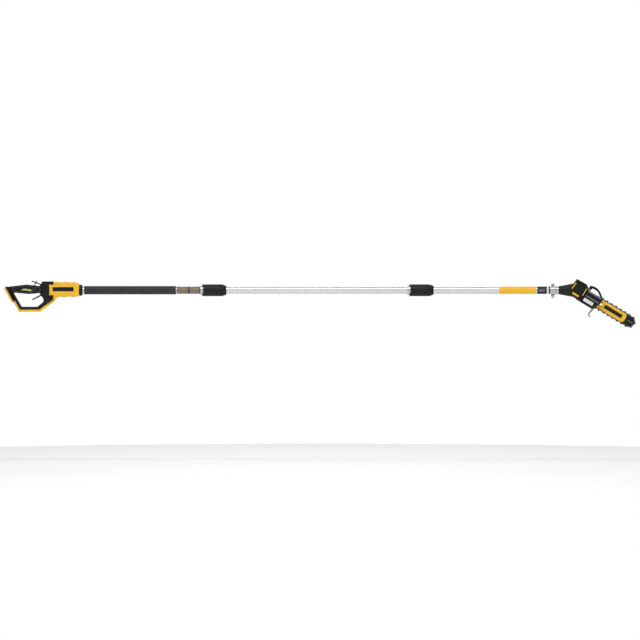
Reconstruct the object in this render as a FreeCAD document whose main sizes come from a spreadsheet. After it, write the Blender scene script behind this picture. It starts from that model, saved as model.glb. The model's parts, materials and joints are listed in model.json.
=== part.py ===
import FreeCAD, Part
import math
import os
import re

import Sketcher

# A sectional cordless pole saw. +X runs along the pole towards the saw, +Z is up and Y is across.
# The origin is on the pole's axis, in the middle of the fore grip. Lengths are millimetres.

doc = FreeCAD.newDocument("pole_saw")
sheet = doc.addObject("Spreadsheet::Sheet", "dims")

SIZES = (
    # pole sections
    ("pole_radius", 18.0, "outside radius of every pole section"),
    ("tube_wall", 1.6, "wall of the pole tubes"),
    ("grip_length", 450.0, "length of the fore grip"),
    ("grip_wall", 2.6, "thickness of the fore grip's rubber"),
    ("collar_length", 17.0, "front collar of the handle housing"),
    ("bare_gap", 7.0, "bare tube between the collar and the fore grip"),
    ("label_length", 127.0, "tube between the fore grip and the first coupler"),
    ("section_pitch", 1015.0, "distance from one coupler to the next"),
    ("head_reach", 732.0, "distance from the second coupler to the saw's neck"),
    ("loom_radius", 4.0, "radius of the wire loom inside the pole"),
    # couplers
    ("sleeve_length", 120.0, "length of a coupler sleeve"),
    ("sleeve_rise", 11.4, "height of a coupler sleeve above the tube"),
    ("sleeve_notch", 7.0, "depth of the arc cut in the sleeve's rear end"),
    ("sleeve_taper", 20.0, "length of the sleeve's tapered front end"),
    ("thread_height", 6.0, "height of the threaded collar above the tube"),
    ("thread_length", 22.0, "length of the thread"),
    ("joint_depth", 50.0, "where the tubes meet inside a sleeve"),
    ("plug_length", 62.0, "length of plug inside the rear tube"),
    ("flange_length", 8.0, "thickness of the flange on the front tube"),
    ("ring_length", 3.6, "thickness of the thrust ring"),
    ("fit_gap", 0.1, "clearance between pieces fixed together"),
    ("running_gap", 0.35, "clearance between pieces that move"),
    ("shaft_gap", 0.05, "radial clearance of a shaft in its bearing"),
    # rear handle
    ("shell_half", 18.5, "half width of the rear handle"),
    ("block_half", 26.0, "half width of the handle's front block"),
    ("housing_half", 34.0, "half width of the controller housing"),
    ("shell_wall", 3.0, "wall of the plastic housings"),
    ("foot_half", 36.0, "half width of the battery foot"),
    ("trim_half", 16.0, "half width of the guard's outer strip"),
    ("lever_half", 7.0, "half width of the trigger and of the lock lever"),
    ("pin_radius", 2.0, "radius of the lever pins"),
    ("hub_radius", 4.6, "radius of the lever hubs"),
    # saw head
    ("head_angle", 31.0, "slope of the bar below the pole"),
    ("head_forward", 204.9, "from the neck to the head's own origin, along the pole"),
    ("head_drop", 67.2, "from the pole's axis down to the head's own origin"),
    ("neck_rise", 1.5, "height of the neck's small end above the tube"),
    ("neck_flare", 14.5, "growth of the neck's radius along its cone"),
    ("neck_length", 73.0, "length of the neck's cone"),
    ("near_depth", 37.0, "depth of the motor housing on the near side"),
    ("cover_depth", 31.0, "depth of the ribbed cover"),
    ("plate_depth", 4.0, "thickness of the gear plate"),
    ("far_depth", 33.0, "depth of the motor housing on the far side"),
    ("sprocket_cover_depth", 24.0, "depth of the sprocket cover"),
    ("plate_face", 5.0, "far face of the gear plate, from the pole's plane"),
    ("bar_plane", 12.5, "middle of the guide bar, from the pole's plane"),
    ("sprocket_u", -84.0, "sprocket shaft, along the bar from the head's origin"),
    ("bar_thickness", 4.4, "thickness of the guide bar"),
    ("bar_groove", 1.7, "width of the chain groove"),
    ("groove_depth", 6.0, "depth of the chain groove"),
    ("link_pitch", 12.7, "length of chain per drive link"),
    ("chain_links", 50.0, "drive links in the chain"),
    ("drive_teeth", 8.0, "teeth of the drive sprocket"),
    ("nose_teeth", 13.0, "teeth of the nose sprocket"),
    ("strap_height", 5.0, "height of the chain's side links"),
    ("strap_thickness", 1.1, "thickness of the chain's side links"),
    ("tang_thickness", 1.3, "thickness of the drive links"),
    ("cutter_height", 5.5, "height of the cutters above the side links"),
    ("gear_module", 1.0, "module of the reduction gears"),
    ("pinion_teeth", 19.0, "teeth of the motor pinion"),
    ("gear_teeth", 38.0, "teeth of the driven gear"),
    ("gear_face", 6.0, "face width of the gears"),
    ("motor_radius", 22.4, "outside radius of the motor"),
    ("motor_shaft", 4.0, "radius of the motor shaft"),
    ("drive_shaft", 5.0, "radius of the sprocket shaft"),
)
TIED = (
    ("sleeve_radius", "=pole_radius + sleeve_rise", "outside radius of a coupler sleeve"),
    ("neck_radius", "=pole_radius + neck_rise", "small end of the neck"),
    ("neck_root", "=neck_radius + neck_flare", "large end of the neck"),
)
ALIASES = {name for name, _, _ in SIZES}
rows = 0


def add_size(name, value, note=""):
    """Writes one driving size to the sheet."""
    global rows
    rows += 1
    sheet.set(f"A{rows}", note or name)
    sheet.set(f"B{rows}", str(value))
    sheet.setAlias(f"B{rows}", name)
    ALIASES.add(name)


for size_name, size_value, size_note in SIZES + TIED:
    add_size(size_name, size_value, size_note)

# Outlines in the side view. The handle's are measured from the front end of its housing and the
# head's along and across the guide bar from the point where the bar leaves its cover.
OUTLINES = {
    "shell": (
        (-349, 17), (-289, 24), (-257, 28), (-227, 24), (-190, 20.5), (-182, 43), (-126, 43),
        (-126, 27), (-148, 27), (-148, -25), (-128, -25), (-128, -44), (-195, -95), (-289, -95),
        (-313, -52),
    ),
    "opening": (
        (-319, -12), (-248, -19), (-194, -14), (-175, -44), (-175, -57), (-205, -81), (-282, -81),
        (-319, -17),
    ),
    "block": (
        (-182, 42.9), (-126.1, 42.9), (-126.1, 27), (-148, 27), (-148, -25), (-128.1, -25),
        (-128.1, -43.8), (-158, -66), (-171, -57), (-171, -43), (-184, -20),
    ),
    "cavity": (
        (-338, 9), (-289, 19.5), (-257, 23.5), (-227, 19.5), (-184, 16.5), (-178, 38.5),
        (-130, 38.5), (-130, 31), (-151, 31), (-151, 21), (-147, 21), (-147, -20), (-158, -38),
        (-169, -41), (-187.5, -10.5), (-248, -15.2), (-312, -8.5),
    ),
    "foot": ((-367, 10), (-356, 18), (-349.4, 17), (-313.4, -52), (-331, -57)),
    "trim": (
        (-329, -58.5), (-312.6, -53.6), (-289.2, -95.3), (-194.8, -95.3), (-128.2, -44.6),
        (-119, -44.6), (-119, -52), (-191, -106), (-295, -106), (-318, -62.5),
    ),
    "housing": (
        (-147.6, 26.4), (-125.6, 26.4), (-125.6, 40), (-108, 41.5), (-86, 38.5), (-64, 41.5),
        (-42, 38.5), (-22, 40.5), (-5, 35), (0, 29), (0, -24), (-6, -30), (-26, -34), (-48, -31),
        (-70, -35), (-92, -32), (-108, -36), (-115, -44.4), (-127.4, -44.4), (-127.4, -24.6),
        (-147.6, -24.6),
    ),
    "bay": (
        (-148.4, 19), (-119, 19), (-119, 34), (-16, 34), (-4, 24), (-4, -20), (-16, -27),
        (-105, -28), (-119, -21), (-148.4, -20),
    ),
    "motor_case": (
        (-168, -14), (-161, 45), (-108, 47), (-99, 40), (-90.2, 36), (-90.2, -42), (-131, -39),
    ),
    "motor_bay": (
        (-164, -12), (-157.5, 41.5), (-109, 43), (-100, 36.5), (-89, 30), (-89, -38.5), (-130, -35),
    ),
    "cover": ((-89.8, 25), (-6, 25), (-2, 20), (-2, -2), (-23, -43), (-89.8, -43)),
    "cover_bay": ((-91, 21.6), (-8.5, 21.6), (-5.5, 18), (-5.5, -3), (-25, -39.5), (-91, -39.5)),
    "plate": (
        (-116, 40), (-99, 40), (-88, 25), (-6, 25), (-2, 20), (-2, -2), (-23, -43), (-116, -41),
    ),
    "far_case": ((-168, -14), (-161, 45), (-117.5, 46), (-117.5, -39.4), (-131, -39)),
    "far_bay": ((-164, -12), (-157.5, 41.5), (-121, 42), (-121, -36), (-130, -35)),
    "chain_cover": ((-114.5, 28.5), (-4, 28.5), (0, 24), (0, -26), (-16, -42), (-114.5, -42)),
    "chain_bay": (
        (-112, 26), (-82, 26), (-78, 40), (4, 40), (4, -37), (-18, -39.5), (-112, -39.5),
    ),
    "bow": (
        (-88, 25.2), (-88, 44), (-80, 52), (-42, 56), (-35, 52), (-1, 25.2), (-12, 25.2),
        (-41, 45), (-76, 41.5), (-79.5, 37), (-79.5, 25.2),
    ),
    "hook": (
        (-34, -8), (-18, -8), (-10, -24), (-13.5, -30), (-9, -34.5), (-16, -40), (-12, -45),
        (-18.5, -50), (-14.5, -55), (-21, -60), (-17.5, -65), (-20, -72), (-14, -76.5),
        (-8, -76), (-8.5, -81), (-17, -82.5), (-25, -77), (-28, -68), (-24, -44), (-34, -24),
    ),
    "tank": (
        (-87.6, 12), (-87.6, 21), (-9, 21), (-9, -2), (-26, -37), (-62, -37), (-62, -12),
        (-74, 12),
    ),
    "bar": (
        (-56, 10), (-46, 17.8), (-4, 23.2), (150, 23.2), (150, -23.2), (-4, -23.2), (-46, -17.8),
        (-56, -10),
    ),
}
for name, points in OUTLINES.items():
    for number, (first, second) in enumerate(points, 1):
        add_size(f"{name}_a_{number}_", first)
        add_size(f"{name}_b_{number}_", second)
doc.recompute()

WORD = re.compile(r"(?<![\w.])[a-z]+(?:_[a-z0-9]+)*_?(?!\w)")


def formula(text):
    """An expression on the sheet, from one that names its cells."""
    return WORD.sub(lambda m: f"dims.{m[0]}" if m[0] in ALIASES else m[0], str(text))


def size(text):
    """The number that an expression gives."""
    return float(sheet.evalExpression(formula(text)))


def bind(item, prop, text):
    item.setExpression(prop, formula(text))


def outline(name):
    """The outline's points, as pairs of cells."""
    count = len(OUTLINES[name])
    return [(f"{name}_a_{i}_", f"{name}_b_{i}_") for i in range(1, count + 1)]


BODY_X = "-grip_length/2 - bare_gap - collar_length"
COUPLER_X = ("grip_length/2 + label_length", "grip_length/2 + label_length + section_pitch")
NECK_X = COUPLER_X[1] + " + head_reach"
HEAD_X = NECK_X + " + head_forward"


def at_head(u, y, v):
    """A point of the head's own frame, as expressions in the pole's frame."""
    turn_cos = "cos(head_angle)"
    turn_sin = "sin(head_angle)"
    x = f"{HEAD_X} + ({u})*{turn_cos} + ({v})*{turn_sin}"
    z = f"-head_drop - ({u})*{turn_sin} + ({v})*{turn_cos}"
    return x, y, z


def place(item, where, angle="0", axis=(0, 1, 0)):
    """Binds an object's placement to the sheet."""
    spot = "; ".join(formula(text) for text in where)
    direction = f"vector({axis[0]}; {axis[1]}; {axis[2]})"
    item.setExpression("Placement", f"placement(vector({spot}); rotation({direction}; {formula(angle)}))")


def place_head(item, u="0", y="0", v="0"):
    place(item, at_head(u, y, v), "head_angle")


made = []


def keep(item, label):
    """Names a finished sub-part."""
    item.Label = label
    made.append(item)
    return item


def new_body():
    return doc.addObject("PartDesign::Body", "Body")


def sketch(body, role, loops=(), circles=()):
    """A sketch on one of the body's own planes. Every point is tied to the sheet."""
    item = body.newObject("Sketcher::SketchObject", "Sketch")
    plane = next(f for f in body.Origin.OriginFeatures if f.Role == role)
    item.AttachmentSupport = [(plane, "")]
    item.MapMode = "FlatFace"
    for loop in loops:
        spots = [FreeCAD.Vector(size(a), size(b), 0) for a, b in loop]
        first = item.GeometryCount
        count = len(spots)
        for i in range(count):
            item.addGeometry(Part.LineSegment(spots[i], spots[(i + 1) % count]), False)
        for i in range(count):
            item.addConstraint(Sketcher.Constraint("Coincident", first + i, 2, first + (i + 1) % count, 1))
        for i, (a, b) in enumerate(loop):
            across = item.addConstraint(Sketcher.Constraint("DistanceX", -1, 1, first + i, 1, spots[i].x))
            item.setExpression(f"Constraints[{across}]", formula(a))
            up = item.addConstraint(Sketcher.Constraint("DistanceY", -1, 1, first + i, 1, spots[i].y))
            item.setExpression(f"Constraints[{up}]", formula(b))
    for a, b, radius in circles:
        spot = FreeCAD.Vector(size(a), size(b), 0)
        number = item.GeometryCount
        item.addGeometry(Part.Circle(spot, FreeCAD.Vector(0, 0, 1), size(radius)), False)
        ties = (
            (Sketcher.Constraint("DistanceX", -1, 1, number, 3, spot.x), a),
            (Sketcher.Constraint("DistanceY", -1, 1, number, 3, spot.y), b),
            (Sketcher.Constraint("Radius", number, size(radius)), radius),
        )
        for tie, text in ties:
            index = item.addConstraint(tie)
            item.setExpression(f"Constraints[{index}]", formula(text))
    return item


def raise_sketch(item, height):
    """Moves a sketch off its plane, along the plane's normal."""
    item.AttachmentOffset = FreeCAD.Placement(FreeCAD.Vector(0, 0, size(height)), FreeCAD.Rotation())
    item.setExpression("AttachmentOffset.Base.z", formula(height))
    return item


def pad(body, profile, length, far=False, both=False):
    """Extrudes towards -Y, or towards +Y when far."""
    item = body.newObject("PartDesign::Pad", "Pad")
    item.Profile = profile
    item.Reversed = far
    item.Midplane = both
    bind(item, "Length", length)
    doc.recompute()
    return item


def pocket(body, profile, length, far=False, both=False):
    """Cuts towards -Y, or towards +Y when far, and makes sure that it cut something."""
    before = body.Shape.Volume
    item = body.newObject("PartDesign::Pocket", "Pocket")
    item.Profile = profile
    item.Reversed = not far
    item.Midplane = both
    bind(item, "Length", length)
    doc.recompute()
    if not body.Shape.Volume < before:
        raise RuntimeError(f"{body.Label}: a pocket cut nothing")
    return item


def turned(body, points, axis="H_Axis", role="XZ_Plane"):
    """A revolution of points (along the axis, radius)."""
    item = body.newObject("PartDesign::Revolution", "Revolution")
    if axis == "V_Axis":
        points = [(radius, along) for along, radius in points]
    profile = sketch(body, role, [points])
    item.Profile = profile
    item.ReferenceAxis = (profile, [axis])
    item.Angle = 360.0
    doc.recompute()
    return item


def grooved(body, points, axis="H_Axis", role="XZ_Plane"):
    """A turned cut of points (along the axis, radius)."""
    before = body.Shape.Volume
    item = body.newObject("PartDesign::Groove", "Groove")
    if axis == "V_Axis":
        points = [(radius, along) for along, radius in points]
    profile = sketch(body, role, [points])
    item.Profile = profile
    item.ReferenceAxis = (profile, [axis])
    item.Angle = 360.0
    doc.recompute()
    if not body.Shape.Volume < before:
        raise RuntimeError(f"{body.Label}: a groove cut nothing")
    return item


def soften(body, radius, chosen):
    """Rounds the edges that the test picks."""
    base = body.Tip
    names = [f"Edge{i}" for i, edge in enumerate(base.Shape.Edges, 1) if chosen(edge)]
    item = body.newObject("PartDesign::Fillet", "Fillet")
    item.Base = (base, names)
    bind(item, "Radius", radius)
    doc.recompute()
    if not item.Shape.isValid() or "Invalid" in item.State:
        raise RuntimeError(f"{body.Label}: a fillet failed")
    return item


SAME = 0.01


def along_y(edge):
    """Whether an edge runs straight across the object."""
    if len(edge.Vertexes) != 2:
        return False
    first, last = (v.Point for v in edge.Vertexes)
    return abs(first.x - last.x) < SAME and abs(first.z - last.z) < SAME


def in_side(y):
    """A test for the edges that lie in one side face."""
    return lambda edge: all(abs(v.Point.y - y) < SAME for v in edge.Vertexes)


def ring_of_revolution(label, points, where, axis="H_Axis", angle="0", role="XZ_Plane"):
    """A turned piece with one profile."""
    body = new_body()
    turned(body, points, axis, role)
    place(body, where, angle)
    return keep(body, label)


def tube_profile(start, end, inner, outer):
    return [(start, inner), (end, inner), (end, outer), (start, outer)]


def compound(label, shapes):
    """A group of like solids in one sub-part."""
    item = doc.addObject("Part::Feature", "Group")
    item.Shape = Part.makeCompound(shapes)
    return keep(item, label)


def rod(start, direction, length, radius):
    return Part.makeCylinder(radius, length, start, direction)


# ---------------------------------------------------------------- pole sections and couplers

INNER = "pole_radius - tube_wall"
JOINT = "joint_depth"
RING = "joint_depth + 4 + flange_length + running_gap"
THREAD_TOP = "pole_radius + thread_height"
GRIP_IN = "pole_radius + fit_gap"


def pole_tube(label, start, end, flange=False):
    """A length of pole, with the flange that the sleeve pulls on where it enters a coupler."""
    body = new_body()
    turned(body, tube_profile("0", f"({end}) - ({start})", INNER, "pole_radius"))
    if flange:
        turned(body, tube_profile("1", "1 + flange_length", "pole_radius - 0.5", THREAD_TOP + " - 0.5"))
    place(body, (start, "0", "0"))
    return keep(body, label)


def coupler(index, x):
    """One coupler: threaded collar, plug, thrust ring and sleeve, measured from the sleeve's rear end."""
    at = (x, "0", "0")
    step = "thread_length/8"
    valley = THREAD_TOP + " - 1"
    collar = [("-8", GRIP_IN), (JOINT, GRIP_IN), (JOINT, valley)]
    for turn in range(4):
        base = f"{JOINT} - {2 * turn}*{step}"
        collar += [(f"{base} - 0.3*{step}", THREAD_TOP), (f"{base} - {step}", THREAD_TOP)]
        collar += [(f"{base} - 1.3*{step}", valley), (f"{base} - 2*{step}", valley)]
    collar += [(f"{JOINT} - thread_length - 1", "pole_radius + 3.5"), ("14", "pole_radius + 3.5")]
    collar += [("13", THREAD_TOP), ("-6.5", THREAD_TOP), ("-8", THREAD_TOP + " - 1.5")]
    ring_of_revolution(f"thread_collar_{index}", collar, at)

    fixed = INNER + " - fit_gap"
    sliding = INNER + " - running_gap"
    plug = [
        (f"{JOINT} - plug_length", "loom_radius + 2"), (f"{JOINT} + 55", "loom_radius + 2"),
        (f"{JOINT} + 55", fixed), (f"{JOINT} + 3", fixed), (f"{JOINT} + 2", sliding),
        (f"{JOINT} - plug_length + 3", sliding), (f"{JOINT} - plug_length", sliding + " - 2"),
    ]
    ring_of_revolution(f"plug_{index}", plug, at)

    ring = tube_profile(RING, f"{RING} + ring_length", "pole_radius + running_gap", THREAD_TOP + " + 1.6")
    ring_of_revolution(f"thrust_ring_{index}", ring, at)

    bore = THREAD_TOP + " + running_gap + 0.3"
    groove = THREAD_TOP + " + 1.6 + running_gap"
    ring_end = f"{RING} + ring_length + running_gap"
    sleeve = new_body()
    turned(sleeve, [
        ("0", bore), (f"{RING} - running_gap", bore), (f"{RING} - running_gap", groove),
        (ring_end, groove), (ring_end, "pole_radius + running_gap"),
        ("sleeve_length", "pole_radius + running_gap"), ("sleeve_length", "pole_radius + 3"),
        ("sleeve_length - 2", "pole_radius + 4.5"),
        ("sleeve_length - sleeve_taper*0.6", "sleeve_radius - 2.5"),
        ("sleeve_length - sleeve_taper", "sleeve_radius - 0.6"),
        ("sleeve_length - sleeve_taper - 3", "sleeve_radius"),
        ("1.2", "sleeve_radius"), ("0", "sleeve_radius - 1.2"),
    ])
    arc = "((sleeve_radius^2 + sleeve_notch^2)/(2*sleeve_notch))"
    notch = sketch(sleeve, "XZ_Plane", circles=[(f"sleeve_notch - {arc}", "0", arc)])
    pocket(sleeve, notch, "4*sleeve_radius", both=True)
    flute = sketch(sleeve, "YZ_Plane", circles=[("0", "sleeve_radius + 1.4", "2.6")])
    raise_sketch(flute, "sleeve_length")
    cut = pocket_along(sleeve, flute, "sleeve_taper + 22")
    pattern = sleeve.newObject("PartDesign::PolarPattern", "Flutes")
    pattern.Originals = [cut]
    pattern.Axis = (flute, ["N_Axis"])
    pattern.Angle = 360.0
    pattern.Occurrences = 18
    sleeve.Tip = pattern
    doc.recompute()
    place(sleeve, at)
    keep(sleeve, f"coupler_sleeve_{index}")


def pocket_along(body, profile, length):
    """A cut that runs from the front end back along the pole."""
    before = body.Shape.Volume
    item = body.newObject("PartDesign::Pocket", "Pocket")
    item.Profile = profile
    bind(item, "Length", length)
    doc.recompute()
    if not body.Shape.Volume < before:
        item.Reversed = True
        doc.recompute()
    if not body.Shape.Volume < before:
        raise RuntimeError(f"{body.Label}: a pocket cut nothing")
    return item


pole_tube("handle_tube", f"{BODY_X} - 70", f"{COUPLER_X[0]} + {JOINT}")
pole_tube("extension_tube", f"{COUPLER_X[0]} + {JOINT} + 3", f"{COUPLER_X[1]} + {JOINT}", True)
pole_tube("head_tube", f"{COUPLER_X[1]} + {JOINT} + 3", f"{NECK_X} + 30", True)
for coupler_index, coupler_x in enumerate(COUPLER_X, 1):
    coupler(coupler_index, coupler_x)

# The loom's lengths end in connectors that meet inside each coupler.
PLUG_END = f"{JOINT} - plug_length"


def loom(label, start, end, socket):
    """A length of loom, with a socket at its front end where the next length plugs in."""
    length = f"({end}) - ({start})"
    points = [("0", "0"), (length, "0")]
    if socket:
        points += [(length, INNER + " - 1.5"), (f"{length} - 24", INNER + " - 1.5")]
        points += [(f"{length} - 24", "loom_radius")]
    else:
        points += [(length, "loom_radius")]
    points += [("0", "loom_radius")]
    ring_of_revolution(label, points, (start, "0", "0"))


loom("loom_handle", f"{BODY_X} - 73.6", f"{COUPLER_X[0]} + {PLUG_END} - 2", True)
loom("loom_extension", f"{COUPLER_X[0]} + {PLUG_END}", f"{COUPLER_X[1]} + {PLUG_END} - 2", True)
loom("loom_head", f"{COUPLER_X[1]} + {PLUG_END}", f"{NECK_X} + 40", False)

# ---------------------------------------------------------------- fore grip and front collar

GRIP_OUT = "pole_radius + grip_wall"
ring_of_revolution("fore_grip", [
    ("-grip_length/2", GRIP_IN), ("grip_length/2", GRIP_IN), ("grip_length/2", GRIP_OUT + " - 0.8"),
    ("grip_length/2 - 1", GRIP_OUT + " + 0.4"), ("grip_length/2 - 9", GRIP_OUT + " + 0.4"),
    ("grip_length/2 - 11", GRIP_OUT), ("11 - grip_length/2", GRIP_OUT),
    ("9 - grip_length/2", GRIP_OUT + " + 0.4"), ("1 - grip_length/2", GRIP_OUT + " + 0.4"),
    ("-grip_length/2", GRIP_OUT + " - 0.8"),
], ("0", "0", "0"))
ring_of_revolution("front_collar", [
    ("0.2", GRIP_IN), ("collar_length", GRIP_IN), ("collar_length", "pole_radius + 3"),
    ("collar_length - 3", "pole_radius + 8"), ("collar_length - 8", "pole_radius + 9.8"),
    ("1.5", "pole_radius + 9.8"), ("0.2", "pole_radius + 8.6"),
], (BODY_X, "0", "0"))

# ---------------------------------------------------------------- rear handle

SCREW_SPOTS = ((-245, -88), (-152, -50), (-100, 30), (-30, 30), (-30, -25.5))
for number, (first, second) in enumerate(SCREW_SPOTS, 1):
    add_size(f"screw_a_{number}_", first, "handle screw")
    add_size(f"screw_b_{number}_", second, "handle screw")
add_size("screw_hole", 1.7, "radius of a screw's hole")
add_size("screw_head", 3.3, "radius of a screw's head")
add_size("boss_radius", 4.6, "radius of a screw boss")
LEVER_SPOTS = {"trigger": (-176, -17), "lock": (-188, 12)}
for name, (first, second) in LEVER_SPOTS.items():
    add_size(f"{name}_a_1_", first, "lever pin")
    add_size(f"{name}_b_1_", second, "lever pin")
doc.recompute()


def drill(body, spots, radius, far):
    """Round holes right through a half shell."""
    circles = [(f"screw_a_{i}_", f"screw_b_{i}_", radius) for i in spots]
    pocket(body, sketch(body, "XZ_Plane", circles=circles), "60", far)


def head_recess(body, spot, half):
    """The recess of one screw's head, in the far side."""
    circles = [(f"screw_a_{spot}_", f"screw_b_{spot}_", "screw_head + 0.2")]
    pocket(body, raise_sketch(sketch(body, "XZ_Plane", circles=circles), f"4 - {half}"), "20", True)


def half_shell(label, far):
    """One half of the rear handle, split on the pole's plane."""
    body = new_body()
    side = 1 if far else -1
    pad(body, sketch(body, "XZ_Plane", [outline("shell"), outline("opening")]), "shell_half", far)
    soften(body, "shell_half*0.21", in_side(side * size("shell_half")))
    pad(body, sketch(body, "XZ_Plane", [outline("block")]), "block_half", far)
    soften(body, "3.5", in_side(side * size("block_half")))
    pocket(body, sketch(body, "XZ_Plane", [outline("cavity")]), "shell_half - 2*shell_wall", far)
    trigger_slot = [("-200", "-50"), ("-168", "-50"), ("-168", "-4"), ("-200", "-4")]
    pocket(body, sketch(body, "XZ_Plane", [trigger_slot]), "lever_half + running_gap", far)
    lock_slot = [("-236", "4"), ("-181.5", "4"), ("-181.5", "60"), ("-236", "60")]
    pocket(body, sketch(body, "XZ_Plane", [lock_slot]), "lever_half + running_gap", far)
    pins = [(f"{name}_a_1_", f"{name}_b_1_", "pin_radius + shaft_gap") for name in LEVER_SPOTS]
    pocket(body, sketch(body, "XZ_Plane", circles=pins), "shell_half - shell_wall + 0.5", far)
    drill(body, (1, 2), "screw_hole", far)
    if far:
        head_recess(body, 1, "shell_half")
        head_recess(body, 2, "block_half")
    place(body, (BODY_X, "0", "0"))
    keep(body, label)


half_shell("rear_shell_right", False)
half_shell("rear_shell_left", True)

foot = new_body()
pad(foot, sketch(foot, "XZ_Plane", [outline("foot")]), "2*foot_half", both=True)
soften(foot, "3", in_side(-size("foot_half")))
soften(foot, "3", in_side(size("foot_half")))
place(foot, (BODY_X, "0", "0"))
keep(foot, "battery_foot")

trim = new_body()
pad(trim, sketch(trim, "XZ_Plane", [outline("trim")]), "2*trim_half", both=True)
soften(trim, "2.5", in_side(-size("trim_half")))
soften(trim, "2.5", in_side(size("trim_half")))
place(trim, (BODY_X, "0", "0"))
keep(trim, "guard_trim")


def half_housing(label, far):
    """One half of the controller housing in front of the handle."""
    body = new_body()
    side = 1 if far else -1
    pad(body, sketch(body, "XZ_Plane", [outline("housing")]), "housing_half", far)
    soften(body, "housing_half*0.24", in_side(side * size("housing_half")))
    bosses = [(f"screw_a_{i}_", f"screw_b_{i}_", "boss_radius") for i in (3, 4, 5)]
    pocket(body, sketch(body, "XZ_Plane", [outline("bay")]), "housing_half - shell_wall", far)
    grooved(body, tube_profile("-12", "2", "0", "pole_radius + fit_gap"))
    drill(body, (3, 4, 5), "screw_hole", far)
    if far:
        for spot in (3, 4, 5):
            head_recess(body, spot, "housing_half")
    place(body, (BODY_X, "0", "0"))
    keep(body, label)


half_housing("front_housing_right", False)
half_housing("front_housing_left", True)

# ---------------------------------------------------------------- inside the rear handle

def slab(label, loops, where, length, far=False, both=False, angle="0", circles=()):
    """A flat piece across the object."""
    body = new_body()
    pad(body, sketch(body, "XZ_Plane", loops, circles), length, far, both)
    place(body, where, angle)
    return keep(body, label)


AT_BODY = (BODY_X, "0", "0")
channel = [("-355.3", "5"), ("-319.8", "-61"), ("-336", "-70"), ("-371", "-4")]
pocket(foot, sketch(foot, "XZ_Plane", [channel]), "2*foot_half - 20", both=True)
undercut = [("-355.3", "5"), ("-319.8", "-61"), ("-322.4", "-62.4"), ("-358", "3.6")]
pocket(foot, sketch(foot, "XZ_Plane", [undercut]), "2*foot_half - 12", both=True)
block = [("-354.4", "3.3"), ("-343.1", "-17.8"), ("-348.3", "-20.7"), ("-359.6", "0.4")]
slab("terminal_block", [block], AT_BODY, "24", both=True)
switch = new_body()
pad(switch, sketch(switch, "XZ_Plane", [[
    ("-166", "-16"), ("-150", "-16"), ("-150", "16"), ("-166", "16"), ("-166", "-1"), ("-169.3", "-1"),
    ("-169.3", "-7"), ("-166", "-7"),
]]), "18", both=True)
leads = [("-325", "1.5"), ("-112.2", "1.5"), ("-112.2", "5"), ("-325", "5")]
pad(switch, sketch(switch, "XZ_Plane", [leads]), "6", both=True)
place(switch, AT_BODY)
keep(switch, "switch_module")
board = [("-112", "-17"), ("-74", "-17"), ("-74", "23"), ("-112", "23")]
slab("controller", [board], AT_BODY, "48", both=True)


def lever(label, blade, arm, name):
    """A thin lever with its hub, bored for its pin."""
    body = new_body()
    pad(body, sketch(body, "XZ_Plane", [blade]), "2*lever_half", both=True)
    pad(body, sketch(body, "XZ_Plane", [arm]), "2*lever_half - 4", both=True)
    hub = [(f"{name}_a_1_", f"{name}_b_1_", "hub_radius")]
    pad(body, sketch(body, "XZ_Plane", circles=hub), "2*lever_half", both=True)
    bore = [(f"{name}_a_1_", f"{name}_b_1_", "pin_radius + shaft_gap")]
    pocket(body, sketch(body, "XZ_Plane", circles=bore), "3*lever_half", both=True)
    place(body, AT_BODY)
    keep(body, label)


lever("trigger", [
    ("-180", "-13.5"), ("-196", "-25.5"), ("-229", "-42.5"), ("-231.5", "-46"), ("-229", "-49"),
    ("-196", "-33"), ("-174", "-22"),
], [("-179", "-17"), ("-173", "-17"), ("-174", "-2"), ("-178", "-2")], "trigger")
lever("lock_lever", [
    ("-192", "12"), ("-193.5", "27.5"), ("-233.5", "42"), ("-234", "45"), ("-230", "46.5"),
    ("-189", "31.5"),
    ("-184", "26"), ("-184", "12"),
], [("-205.5", "44.5"), ("-210", "45.5"), ("-225", "20"), ("-221", "18.5")], "lock")

BODY = FreeCAD.Vector(size(BODY_X), 0, 0)
ACROSS = FreeCAD.Vector(0, 1, 0)


def pin(name):
    half = size("shell_half - shell_wall")
    spot = BODY + FreeCAD.Vector(size(f"{name}_a_1_"), -half, size(f"{name}_b_1_"))
    return rod(spot, ACROSS, 2 * half, size("pin_radius"))


def torsion_spring(label, name):
    """A coil spring round a lever's pin, beside the hub."""
    turns = 3
    wire = 0.5
    height = size("shell_half - 2*shell_wall - lever_half") - 4 * wire
    coil = Part.makeHelix(height / turns, height, size("pin_radius") + 1.2)
    start = Part.makeCircle(wire, FreeCAD.Vector(size("pin_radius") + 1.2, 0, 0), ACROSS)
    sweep = Part.Wire(coil).makePipeShell([Part.Wire(start)], True, True)
    sweep.rotate(FreeCAD.Vector(), FreeCAD.Vector(1, 0, 0), -90)
    spot = (size(f"{name}_a_1_"), size("lever_half") + 2 * wire, size(f"{name}_b_1_"))
    sweep.translate(BODY + FreeCAD.Vector(*spot))
    compound(label, [sweep])


compound("lever_pins", [pin("trigger"), pin("lock")])
torsion_spring("trigger_spring", "trigger")
torsion_spring("lock_lever_spring", "lock")


def handle_screw(spot, half):
    """A screw from the far side: head, then shank."""
    side = size(half)
    centre = BODY + FreeCAD.Vector(size(f"screw_a_{spot}_"), side - 4, size(f"screw_b_{spot}_"))
    head = rod(centre, ACROSS, 2.5, size("screw_head"))
    shank = rod(centre, -ACROSS, 2 * side - 8, size("screw_hole") - 0.1)
    return head.fuse(shank)


HALVES = ("shell_half", "block_half", "housing_half", "housing_half", "housing_half")
compound("handle_screws", [handle_screw(i, half) for i, half in enumerate(HALVES, 1)])


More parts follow.
